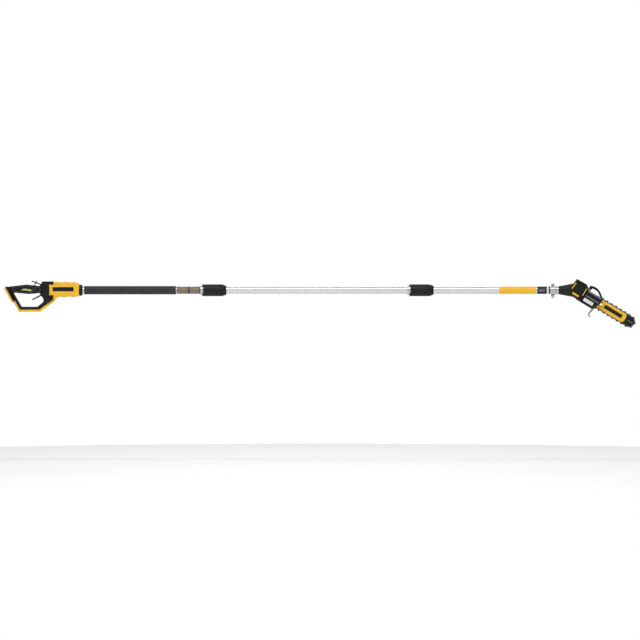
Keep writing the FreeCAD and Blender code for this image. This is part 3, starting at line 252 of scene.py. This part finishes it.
def recipes(settings):
    """Each finish: colour, roughness, metallic, then the values of mottle, uneven and grain."""
    yellow, black = tuple(settings.yellow), tuple(settings.black)
    charcoal, silver = tuple(settings.charcoal), tuple(settings.silver)
    rubber = tuple(c * 0.8 for c in charcoal)
    light = tuple(c * 3.0 for c in charcoal)
    cast = tuple(c * 0.8 for c in silver)
    lengthwise, drawn, brushed = (0.05, 1, 1), (0.03, 1, 1), (0.02, 1, 1)
    tube_tone, tube_grain = (30, 0.06, lengthwise), (2600, 2.5e-5, 0.25, brushed)
    steel = (0.3, 1.0, (150, 0.12), (260, 0.22, 0.4), (1800, 3e-5, 0.3))
    bar = (0.34, 0.0, (30, 0.08), (80, 0.28, 0.46), (900, 4e-5, 0.25))
    shell = (0.36, 0.0, (25, 0.07), (60, 0.3, 0.44), (1500, 4e-5, 0.25))
    case = (0.42, 0.0, (40, 0.3), (70, 0.34, 0.52), (2200, 5e-5, 0.4))
    band = ((0.018, 0.018, 0.02), 0.3, 0.0, (60, 0.3), (80, 0.25, 0.38), (1200, 2e-5, 0.2))
    return {
        "yellow plastic": (yellow, *shell),
        "black plastic": (black, *case),
        "grey plastic": (charcoal, 0.45, 0.0, (40, 0.2), (70, 0.38, 0.55), (2000, 5e-5, 0.4)),
        "grip rubber": (rubber, 0.6, 0.0, (30, 0.22), (50, 0.45, 0.68), (2600, 9e-5, 0.6)),
        "accent plastic": ((0.62, 0.64, 0.2), 0.45, 0.0, (60, 0.15), None, (1600, 5e-5, 0.3)),
        "anodised tube": (silver, 0.3, 0.85, tube_tone, (220, 0.24, 0.36, drawn), tube_grain),
        "cast aluminium": (cast, 0.38, 0.9, (90, 0.1), (120, 0.3, 0.48), (1400, 6e-5, 0.4)),
        "gear casting": ((0.2, 0.2, 0.21), 0.5, 0.8, (90, 0.2), None, (1100, 8e-5, 0.5)),
        "plated steel": ((0.4, 0.4, 0.41), *steel),
        "bar paint": (yellow, *bar),
        "chain steel": ((0.06, 0.06, 0.065), 0.38, 0.9, (300, 0.4), (400, 0.28, 0.5),
                        (2500, 4e-5, 0.4)),
        "motor iron": ((0.18, 0.18, 0.19), 0.5, 0.9, (200, 0.25), None, (1500, 5e-5, 0.4)),
        "contact brass": ((0.75, 0.56, 0.25), 0.3, 1.0, (300, 0.15), None, (1500, 3e-5, 0.3)),
        "black band": band,
        "wire jacket": ((0.02, 0.02, 0.022), 0.5, 0.0, (90, 0.3), None, (1500, 5e-5, 0.3)),
        "tank plastic": ((0.45, 0.44, 0.4), 0.4, 0.0, (80, 0.12), None, (1500, 4e-5, 0.3)),
        "light plastic": (light, 0.5, 0.0, (50, 0.15), None, (2000, 4e-5, 0.3)),
        "pale label": ((0.8, 0.8, 0.8), 0.4, 0.0, (60, 0.04), None, (900, 2e-5, 0.2)),
        "studio floor": ((0.93, 0.93, 0.925), 0.7, 0.0, (0.8, 0.01), None, None),
        "battery foot": (black, *case),
        "front housing": (yellow, *shell),
        "guide bar": (yellow, *bar),
        "labelled tube": (silver, 0.3, 0.85, tube_tone, None, tube_grain),
        "striped band": band,
        "screws": ((0.5, 0.5, 0.51), *steel),
    }


FOOT_OUT = (-0.881, -0.473)  # away from the foot's rear face, in the side view
FOOT_YELLOW_FROM = 310 * MM


def paint_foot(finish, settings):
    """A yellow rear face on the black foot."""
    shares = [finish.maths("MULTIPLY", finish.measure(HANDLE, axis), share)
              for axis, share in zip((0, 2), FOOT_OUT)]
    rear = finish.maths("GREATER_THAN", finish.maths("ADD", *shares), FOOT_YELLOW_FROM)
    finish.paint(rear, tuple(settings.yellow))


def paint_housing(finish, settings):
    """A blank dark plate on the yellow housing."""
    plate = finish.inside(HANDLE, (-77, 4.6), (52, 10.5), 4)
    finish.paint(plate, tuple(settings.black))


NOSE_FROM = 143 * MM
NOSE_CORNER = 157 * MM  # along the bar plus across it, where the nose's corners are cut


def paint_bar(finish, settings):
    """A black nose with a pale slot, and a blank dark plate."""
    along = finish.measure(HEAD, 0)
    across = finish.maths("ABSOLUTE", finish.measure(HEAD, 2))
    corner = finish.maths("GREATER_THAN", finish.maths("ADD", along, across), NOSE_CORNER)
    nose = finish.maths("MAXIMUM", corner, finish.maths("GREATER_THAN", along, NOSE_FROM))
    finish.paint(nose, (0.012, 0.012, 0.013), 0.4)
    finish.paint(finish.inside(HEAD, (170, 0.5), (14, 0.9), 0.8), (0.4, 0.38, 0.3))
    finish.paint(finish.inside(HEAD, (74, 1), (50, 9.5), 4), (0.016, 0.016, 0.017))


def paint_tube(finish, settings):
    """A blank wrap of two brown tones, with dark edges."""
    along = finish.measure(WORLD, 0)
    finish.paint(finish.between(along, 228, 345), (0.24, 0.165, 0.11), 0.42, 0.0)
    for start, end, tone in ((292, 339, (0.21, 0.17, 0.115)), (284, 292, (0.03, 0.025, 0.02)),
                             (339, 343, (0.05, 0.045, 0.04))):
        finish.paint(finish.between(along, start, end), tone)


def paint_band(finish, settings):
    """A light stripe and a blank grey patch on the black band."""
    finish.paint(finish.between(finish.measure(WORLD, 0), 2041, 2051), (0.75, 0.75, 0.76))
    finish.paint(finish.inside(WORLD, (2016, -2), (16, 5), 2), (0.18, 0.18, 0.185))


def paint_screws(finish, settings):
    """Black screws in the head; those behind the neck stay bright."""
    ahead = finish.maths("GREATER_THAN", finish.measure(WORLD, 0), NECK_X)
    finish.paint(ahead, (0.035, 0.035, 0.037), 0.4)


PAINTS = {
    "battery foot": paint_foot,
    "front housing": paint_housing,
    "guide bar": paint_bar,
    "labelled tube": paint_tube,
    "striped band": paint_band,
    "screws": paint_screws,
}


def make_looks(settings):
    """Every finish of the saw, by the name of what it is."""
    for name, (base, roughness, metallic, *changes) in recipes(settings).items():
        finish = Look(name, base, roughness, metallic)
        for change, values in zip((finish.mottle, finish.uneven, finish.grain), changes):
            if values:
                change(*values)
        if name in PAINTS:
            PAINTS[name](finish, settings)
        LOOKS[name] = finish


NODE_LOOKS = {
    "battery_foot": "battery foot",
    "front_housing_right": "front housing",
    "front_housing_left": "front housing",
    "guide_bar": "guide bar",
    "ribbed_cover": "black plastic",
    "handle_tube": "labelled tube",
    "black_band": "striped band",
    "head_screws": "screws",
}
SLOT_LOOKS = {
    "black_plastic": "black plastic",
    "grey_plastic": "grey plastic",
    "yellow_plastic": "yellow plastic",
    "grip_rubber": "grip rubber",
    "accent_plastic": "accent plastic",
    "anodised_tube": "anodised tube",
    "cast_aluminium": "cast aluminium",
    "gear_casting": "gear casting",
    "plated_steel": "plated steel",
    "bar_paint": "bar paint",
    "chain_steel": "chain steel",
    "motor_iron": "motor iron",
    "contact_brass": "contact brass",
    "band_black": "black band",
    "wire_jacket": "wire jacket",
    "tank_plastic": "tank plastic",
}


# ------------------------------------------------------------------ mesh helpers


def new_piece(name, bm, body, finishes, smooth_angle=40.0):
    """Turns a bmesh into a piece that rides on a body."""
    bmesh.ops.recalc_face_normals(bm, faces=bm.faces)
    mesh = bpy.data.meshes.new(name)
    bm.to_mesh(mesh)
    bm.free()
    piece = bpy.data.objects.new(name, mesh)
    bpy.context.scene.collection.objects.link(piece)
    for finish in finishes:
        mesh.materials.append(look(finish))
    mesh.polygons.foreach_set("use_smooth", [True] * len(mesh.polygons))
    mesh.set_sharp_from_angle(angle=math.radians(smooth_angle))
    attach(piece, body)
    return piece


def soften_edges(piece, width, segments, angle=35.0):
    """Rounds the piece's edges and keeps its flat faces flat."""
    bevel = piece.modifiers.new("rounded edges", "BEVEL")
    bevel.width = width
    bevel.segments = segments
    bevel.limit_method = "ANGLE"
    bevel.angle_limit = math.radians(angle)
    bevel.harden_normals = True


def in_mm(*points):
    """Points given in millimetres, in metres."""
    return [tuple(value * MM for value in point) for point in points]


def add_plate(bm, outline, start, end, frame_of):
    """Adds a flat plate, drawn in the side view, between two depths."""
    loops = [[bm.verts.new(frame_of @ Vector((a, y, b))) for a, b in outline] for y in (start, end)]
    bm.faces.new(loops[0])
    bm.faces.new(reversed(loops[1]))
    count = len(outline)
    for i in range(count):
        j = (i + 1) % count
        bm.faces.new((loops[0][j], loops[0][i], loops[1][i], loops[1][j]))


def round_box(centre, half, radius):
    """The outline of a rectangle with round corners."""
    steps = 5
    spots = []
    for turn, (a, b) in enumerate(((1, 1), (-1, 1), (-1, -1), (1, -1))):
        for step in range(steps + 1):
            angle = math.pi / 2 * (turn + step / steps)
            spots.append((centre[0] + a * (half[0] - radius) + radius * math.cos(angle),
                          centre[1] + b * (half[1] - radius) + radius * math.sin(angle)))
    return spots


def join_rings(bm, pairs):
    """Adds the faces between each pair of rings of points."""
    for first, second in pairs:
        for step in range(len(first)):
            other = (step + 1) % len(first)
            bm.faces.new((first[other], first[step], second[step], second[other]))


def add_stack(bm, rings, frame_of, sides):
    """Adds a turned shape about the frame's y from pairs of depth and radius."""
    loops = []
    for depth, radius in rings:
        ring = []
        for step in range(sides):
            angle = 2 * math.pi * step / sides
            spot = Vector((radius * math.cos(angle), depth, radius * math.sin(angle)))
            ring.append(bm.verts.new(frame_of @ spot))
        loops.append(ring)
    bm.faces.new(loops[0])
    bm.faces.new(reversed(loops[-1]))
    join_rings(bm, zip(loops, loops[1:]))


def rounded(points, closed=False):
    """Rounds a path's corners by cutting each of them three times over."""
    for _ in range(3):
        fresh = []
        count = len(points)
        for i in range(count if closed else count - 1):
            a, b = Vector(points[i]), Vector(points[(i + 1) % count])
            fresh += [a.lerp(b, 0.25), a.lerp(b, 0.75)]
        if not closed:
            fresh = [Vector(points[0]), *fresh, Vector(points[-1])]
        points = fresh
    return points


def even_path(points, gap, closed=False):
    """The same path with its points evenly spaced, and its length."""
    path = [Vector(p) for p in points]
    if closed:
        path.append(path[0])
    lengths = [0.0]
    for a, b in zip(path, path[1:]):
        lengths.append(lengths[-1] + (b - a).length)
    count = max(2, round(lengths[-1] / gap))
    spots = []
    leg = 0
    for step in range(count + (0 if closed else 1)):
        want = min(lengths[-1], lengths[-1] * step / count)
        while leg < len(path) - 2 and lengths[leg + 1] < want:
            leg += 1
        share = (want - lengths[leg]) / max(1e-9, lengths[leg + 1] - lengths[leg])
        spots.append(path[leg].lerp(path[leg + 1], share))
    return spots, lengths[-1]


SWEEP_SIDES = 16
SWEEP_POWER = 0.7  # 1 makes the section an ellipse and 0 a rectangle


def add_sweep(bm, path, section, frame_of, closed=False):
    """Sweeps a rounded section along a path in the side view.

    The section gives half the thickness and half the depth from the share of the path gone by.
    """
    loops = []
    count = len(path)
    for i, spot in enumerate(path):
        before = path[(i - 1) % count] if closed or i else spot
        after = path[(i + 1) % count] if closed or i < count - 1 else spot
        along = (after - before).normalized()
        out = Vector((-along.z, 0, along.x))
        thick, depth = section(i / (count - 1))
        ring = []
        for step in range(SWEEP_SIDES):
            angle = 2 * math.pi * step / SWEEP_SIDES
            c, s = (math.copysign(abs(part) ** SWEEP_POWER, part)
                    for part in (math.cos(angle), math.sin(angle)))
            ring.append(bm.verts.new(frame_of @ (spot + out * thick * c + Vector((0, depth * s, 0)))))
        loops.append(ring)
    pairs = list(zip(loops, loops[1:]))
    if closed:
        pairs.append((loops[-1], loops[0]))
    else:
        bm.faces.new(loops[0])
        bm.faces.new(reversed(loops[-1]))
    join_rings(bm, pairs)


# ------------------------------------------------------------------ the chain's course

LINK_PITCH = 12.7 * MM
LINKS = 50
DRIVE_TEETH = 8
NOSE_TEETH = 13
DRIVE_U = -DRIVE_BACK
RAIL_U = -4 * MM  # where the chain meets the bar's rail
DRIVE_R = DRIVE_TEETH * LINK_PITCH / (2 * math.pi)
NOSE_R = NOSE_TEETH * LINK_PITCH / (2 * math.pi)
LEAD = math.hypot(RAIL_U - DRIVE_U, NOSE_R)  # from the drive sprocket's axis to the rail's start
TANGENT = math.sqrt(LEAD**2 - DRIVE_R**2)  # the free run between them
LEAVE = math.atan2(NOSE_R, RAIL_U - DRIVE_U) + math.acos(DRIVE_R / LEAD)
ARC = DRIVE_R * (math.pi - LEAVE)  # from the back of the sprocket to where the chain leaves it


def on_chain(s):
    """The point of the chain's middle line at a length s from the back of the drive sprocket."""
    total = LINKS * LINK_PITCH
    s %= total
    side = 1 if s <= total / 2 else -1
    s = min(s, total - s)
    if s < ARC:
        angle = math.pi - s / DRIVE_R
        spot = (DRIVE_U + DRIVE_R * math.cos(angle), DRIVE_R * math.sin(angle))
    elif s < ARC + TANGENT:
        share = (s - ARC) / TANGENT
        start = Vector((DRIVE_U + DRIVE_R * math.cos(LEAVE), DRIVE_R * math.sin(LEAVE)))
        spot = start.lerp(Vector((RAIL_U, NOSE_R)), share)
    elif s < ARC + TANGENT + NOSE_U - RAIL_U:
        spot = (RAIL_U + s - ARC - TANGENT, NOSE_R)
    else:
        angle = math.pi / 2 - (s - ARC - TANGENT - NOSE_U + RAIL_U) / NOSE_R
        spot = (NOSE_U + NOSE_R * math.cos(angle), NOSE_R * math.sin(angle))
    return spot[0], side * spot[1]


def link_frame(s):
    """Where a link sits: its x runs along the chain and its z points away from the bar."""
    a = on_chain(s - LINK_PITCH / 4)
    b = on_chain(s + LINK_PITCH / 4)
    turn = math.atan2(b[1] - a[1], b[0] - a[0])
    spot = Matrix.Translation(Vector(((a[0] + b[0]) / 2, BAR_Y, (a[1] + b[1]) / 2)))
    return HEAD @ spot @ Matrix.Rotation(-turn, 4, "Y")


# ------------------------------------------------------------------ sizes and colours


def colour_property(name, description, default):
    return bpy.props.FloatVectorProperty(
        name=name, description=description, subtype="COLOR", size=3, default=default, min=0.0, max=1.0)


def length_property(name, description, default, **limits):
    return bpy.props.FloatProperty(
        name=name, description=description, default=default, unit="LENGTH", **limits)


class PoleSawSettings(bpy.types.PropertyGroup):
    """Sizes and colours that can be changed before the pieces are built."""

    yellow: colour_property("Yellow", "Colour of the yellow housings and of the bar", (0.97, 0.56, 0.04))
    black: colour_property("Black", "Colour of the black plastic", (0.011, 0.011, 0.0122))
    charcoal: colour_property("Charcoal", "Colour of the grips and of the ridges", (0.05, 0.051, 0.054))
    silver: colour_property("Silver", "Colour of the pole", (0.7, 0.705, 0.715))
    camera_distance: length_property(
        "Camera distance", "From the pole's plane to the camera", 20.0, min=5.0)
    view_width: length_property("View width", "Width of the view at the pole", 3.136, min=0.5)
    view_centre_x: length_property("View centre along", "Middle of the view, along the pole", 0.9304)
    view_centre_z: length_property(
        "View centre height", "Middle of the view, from the pole's axis", -0.146)
    floor_height: length_property("Floor height", "Height of the floor", -0.85)


class POLESAW_OT_frame_finish(bpy.types.Operator):
    """Gives every piece of the frame its finish"""

    bl_idname = "polesaw.frame_finish"
    bl_label = "Finish the frame's pieces"

    def execute(self, context):
        make_looks(context.scene.pole_saw)
        slots = {part["node"]: part["material_slot"] for part in frame["record"]["subparts"]}
        for name, piece in NODES.items():
            finish = look(NODE_LOOKS.get(name) or SLOT_LOOKS[slots[name]])
            if not piece.material_slots:
                piece.data.materials.append(finish)
            for place in piece.material_slots:
                place.material = finish
        return {"FINISHED"}


RIVET = LINK_PITCH / 4  # from a link's middle to its rivet
STRAP = 2.5 * MM
INNER = 0.65 * MM  # half the thickness of a drive link
SIDE_PLATE = 1.1 * MM  # the thickness of a side link
OUTER = INNER + SIDE_PLATE
TOP_REACH = INNER + 2.1 * SIDE_PLATE  # how far a cutter's top reaches out
RIVET_HEAD = ((0, 1.7), (0.25, 1.6), (0.5, 1.0))
RIVET_SIDES = 10
END_ARC = math.radians(104)  # half of the round at each end of a link
END_STEPS = 8
TANG = in_mm((-3.4, -1.8), (3.4, -1.8), (1.2, -7.0), (-1.2, -7.0))
TOOTH = in_mm((-5.5, 1.2), (-5.7, 4.6), (-5.0, 6.6), (-4.2, 6.5), (-3.3, 4.4), (-2.0, 3.3), (-0.9, 4.0),
              (-0.9, 5.4), (-1.7, 7.9), (4.9, 6.9), (5.2, 3.2), (4.7, 1.2))
TOP_PLATE = in_mm((-1.7, 7.95), (-1.3, 6.9), (4.8, 5.9), (4.95, 6.95))


def side_link():
    """The outline of a link, waisted between its two rivets."""
    spots = []
    for side in (1, -1):
        for step in range(END_STEPS + 1):
            angle = END_ARC - 2 * END_ARC * step / END_STEPS
            spots.append((side * (RIVET + STRAP * math.cos(angle)), side * STRAP * math.sin(angle)))
    return spots


def add_cutter(bm, facing, frame_of):
    """Adds a hooked tooth and its top plate on one side of the chain."""
    for outline, reach in ((TOOTH, OUTER), (TOP_PLATE, TOP_REACH)):
        add_plate(bm, outline, *sorted((facing * INNER, facing * reach)), frame_of)


class POLESAW_OT_chain(bpy.types.Operator):
    """Builds the saw chain with waisted side links, rivets and hooked cutters"""

    bl_idname = "polesaw.chain"
    bl_label = "Build the saw chain"

    def execute(self, context):
        bm = bmesh.new()
        for number in range(LINKS):
            here = link_frame(number * LINK_PITCH)
            after = link_frame((number + 0.5) * LINK_PITCH)
            add_plate(bm, side_link(), -INNER, INNER, here)
            add_plate(bm, TANG, -INNER, INNER, here)
            for facing in (-1, 1):
                add_plate(bm, side_link(), *sorted((facing * INNER, facing * OUTER)), after)
                rings = [(facing * rise * MM, radius * MM) for rise, radius in RIVET_HEAD]
                for shift in (-RIVET, RIVET):
                    head = after @ Matrix.Translation(Vector((shift, facing * OUTER, 0)))
                    add_stack(bm, rings, head, RIVET_SIDES)
            if number % 2 == 0:
                add_cutter(bm, -1 if number % 4 == 0 else 1, after)
        piece = new_piece("saw_chain_links", bm, "saw_head", ["chain steel"],
                          smooth_angle=30)
        soften_edges(piece, 0.18 * MM, segments=1, angle=50)
        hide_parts("saw_chain")
        return {"FINISHED"}


BOW_CORNERS = in_mm((-83.4, 0, 25.6), (-83.4, 0, 46.0), (-77, 0, 50.5), (-60, 0, 52.5), (-44, 0, 50.6),
                    (-32, 0, 45.6), (-7.2, 0, 25.9))
BOW_STEP = 1.2 * MM
BOW_GRIP = (26, 58)  # millimetres along the bow
BOW_COLLARS = (24.5, 59.5)
COLLAR_REACH = 1.4
GRIP_SECTION, COLLAR_SECTION, BOW_SECTION = in_mm((6.0, 5.8), (4.2, 4.4), (5.0, 5.0))


class POLESAW_OT_guard_bow(bpy.types.Operator):
    """Builds the bow guard over the bar's root, with its grip and its collars"""

    bl_idname = "polesaw.guard_bow"
    bl_label = "Build the bow guard"

    def execute(self, context):
        path, length = even_path(rounded(BOW_CORNERS), BOW_STEP)

        def section(share):
            gone = share * length / MM
            if BOW_GRIP[0] < gone < BOW_GRIP[1]:
                return GRIP_SECTION
            if min(abs(gone - collar) for collar in BOW_COLLARS) < COLLAR_REACH:
                return COLLAR_SECTION
            return BOW_SECTION

        bm = bmesh.new()
        add_sweep(bm, path, section, HEAD)
        piece = new_piece("bow_guard", bm, "saw_head", ["black plastic"],
                          smooth_angle=45)
        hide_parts("guard_bow")
        return {"FINISHED"}


RIDGE_HEIGHTS = (21.6, -2.0)
RIDGE_ENDS = (-84, -11)
RIDGE_STEP = 4 * MM
RIDGE_SECTION = (4.4 * MM, 1.1 * MM)
RIDGE_SUNK = 0.7 * MM  # from the ribs' faces back to the ridges' middle
LABEL_CENTRE, LABEL_HALF = in_mm((-57.5, -22.5), (26.5, 8.5))
LABEL_CORNER = 2 * MM
LABEL_DEPTHS = (0.4 * MM, 1.6 * MM)  # behind the ribs' faces


class POLESAW_OT_cover_trim(bpy.types.Operator):
    """Lays the light ridges and the blank plate on the ribbed cover"""

    bl_idname = "polesaw.cover_trim"
    bl_label = "Trim the ribbed cover"

    def execute(self, context):
        face = low("ribbed_cover").y
        ridge = HEAD @ Matrix.Translation(Vector((0, face + RIDGE_SUNK, 0)))
        bm = bmesh.new()
        for height in RIDGE_HEIGHTS:
            path, _ = even_path(in_mm(*((u, 0, height) for u in RIDGE_ENDS)), RIDGE_STEP)
            add_sweep(bm, path, lambda share: RIDGE_SECTION, ridge)
        new_piece("cover_ridges", bm, "saw_head", ["light plastic"], smooth_angle=50)

        bm = bmesh.new()
        near, far = (face + depth for depth in LABEL_DEPTHS)
        add_plate(bm, round_box(LABEL_CENTRE, LABEL_HALF, LABEL_CORNER), near, far, HEAD)
        piece = new_piece("blank_plate", bm, "saw_head", ["pale label"])
        soften_edges(piece, 0.2 * MM, segments=2)
        return {"FINISHED"}


GRIP_FACE = 18.5 * MM
GRIP_PANELS = (
    ((-336, 11), (-289, 19.5), (-257, 23), (-226, 19), (-226, -11), (-248, -14.5), (-312, -7)),
    ((-219, 17.5), (-192, 14), (-190, -6), (-215, -12)),
)
PIPING_SECTION = (0.75 * MM, 0.6 * MM)
PIPING_STEP = 1.6 * MM


class POLESAW_OT_grip_piping(bpy.types.Operator):
    """Runs the light piping round the soft panels of the rear grip"""

    bl_idname = "polesaw.grip_piping"
    bl_label = "Pipe the rear grip"

    def execute(self, context):
        bm = bmesh.new()
        for panel in GRIP_PANELS:
            loop = rounded(in_mm(*((a, 0, b) for a, b in panel)), closed=True)
            path, _ = even_path(loop, PIPING_STEP, closed=True)
            for side in (-1, 1):
                where = HANDLE @ Matrix.Translation(Vector((0, side * GRIP_FACE, 0)))
                add_sweep(bm, path, lambda share: PIPING_SECTION, where, closed=True)
        new_piece("grip_piping", bm, "handle", ["light plastic"], smooth_angle=60)
        return {"FINISHED"}


FLOOR_RADIUS = 3.2
WORLD_DARK, WORLD_LIGHT = (0.3, 0.3, 0.303), (1.0, 1.0, 1.0)
WORLD_SPAN = (-0.1, 0.75)  # the world is dark at the first y and light at the second
LAMP_AIM = (0.93, 0, 0)
LAMP_WIDTH = 4.5
LAMPS = (  # name, place, depth of its face, watts
    ("key", (0.9, -2.6, 3.2), 0.9, 110),
    ("low", (0.9, -3.6, -0.7), 0.3, 15),
    ("back", (0.9, 3.2, 2.4), 0.7, 50),
)
SENSOR_WIDTH = 36.0


def add_floor(context, settings):
    bm = bmesh.new()
    bmesh.ops.create_circle(bm, cap_ends=True, segments=96, radius=FLOOR_RADIUS)
    mesh = bpy.data.meshes.new("studio_floor")
    bm.to_mesh(mesh)
    bm.free()
    mesh.materials.append(look("studio floor"))
    floor = bpy.data.objects.new("studio_floor", mesh)
    floor.location = (settings.view_centre_x, 0.0, settings.floor_height)
    context.scene.collection.objects.link(floor)


def add_world(context):
    """A pale world that is darker on the camera's side, so that bright metal has something to show."""
    world = bpy.data.worlds.new("studio")
    world.use_nodes = True
    nodes, links = world.node_tree.nodes, world.node_tree.links
    where = nodes.new("ShaderNodeTexCoord")
    split = nodes.new("ShaderNodeSeparateXYZ")
    span = nodes.new("ShaderNodeMapRange")
    span.inputs["From Min"].default_value, span.inputs["From Max"].default_value = WORLD_SPAN
    tone = nodes.new("ShaderNodeValToRGB")
    for element, value in zip(tone.color_ramp.elements, (WORLD_DARK, WORLD_LIGHT)):
        element.color = colour_of(value)
    links.new(where.outputs["Generated"], split.inputs["Vector"])
    links.new(split.outputs["Y"], span.inputs["Value"])
    links.new(span.outputs["Result"], tone.inputs["Fac"])
    links.new(tone.outputs["Color"], nodes["Background"].inputs["Color"])
    context.scene.world = world


def add_lamps(context):
    for name, where, depth, power in LAMPS:
        lamp = bpy.data.lights.new(name, "AREA")
        lamp.shape = "RECTANGLE"
        lamp.size = LAMP_WIDTH
        lamp.size_y = depth
        lamp.energy = power
        item = bpy.data.objects.new(name, lamp)
        item.location = where
        aim = Vector(LAMP_AIM) - Vector(where)
        item.rotation_euler = aim.to_track_quat("-Z", "Y").to_euler()
        context.scene.collection.objects.link(item)


def add_camera(context, settings):
    lens = bpy.data.cameras.new("camera")
    lens.sensor_width = SENSOR_WIDTH
    lens.lens = SENSOR_WIDTH * settings.camera_distance / settings.view_width
    lens.clip_end = 200.0
    camera = bpy.data.objects.new("camera", lens)
    camera.location = (settings.view_centre_x, -settings.camera_distance, settings.view_centre_z)
    camera.rotation_euler = (math.radians(90), 0.0, 0.0)
    context.scene.collection.objects.link(camera)
    context.scene.camera = camera


class POLESAW_OT_stage(bpy.types.Operator):
    """Builds the floor, the world, the lights and the camera"""

    bl_idname = "polesaw.stage"
    bl_label = "Build the studio"

    def execute(self, context):
        settings = context.scene.pole_saw
        add_floor(context, settings)
        add_world(context)
        add_lamps(context)
        add_camera(context, settings)
        context.scene.view_settings.view_transform = "Standard"
        return {"FINISHED"}


class POLESAW_PT_panel(bpy.types.Panel):
    """Lists the saw's sizes, colours and builders"""

    bl_idname = "POLESAW_PT_panel"
    bl_label = "Pole saw"
    bl_space_type = "VIEW_3D"
    bl_region_type = "UI"
    bl_category = "Pole saw"

    def draw(self, context):
        settings = context.scene.pole_saw
        for name in PoleSawSettings.__annotations__:
            self.layout.prop(settings, name)
        for builder in BUILDERS:
            self.layout.operator(builder.bl_idname)


BUILDERS = (
    POLESAW_OT_frame_finish,
    POLESAW_OT_chain,
    POLESAW_OT_guard_bow,
    POLESAW_OT_cover_trim,
    POLESAW_OT_grip_piping,
    POLESAW_OT_stage,
)
CLASSES = (PoleSawSettings, *BUILDERS, POLESAW_PT_panel)


def register():
    for item in CLASSES:
        bpy.utils.register_class(item)
    bpy.types.Scene.pole_saw = bpy.props.PointerProperty(type=PoleSawSettings)


def unregister():
    del bpy.types.Scene.pole_saw
    for item in reversed(CLASSES):
        bpy.utils.unregister_class(item)


def main():
    register()
    for builder in BUILDERS:
        group, name = builder.bl_idname.split(".")
        result = getattr(getattr(bpy.ops, group), name)()
        if "FINISHED" not in result:
            raise RuntimeError(f"{builder.bl_label} didn't finish")


if __name__ == "__main__":
    main()
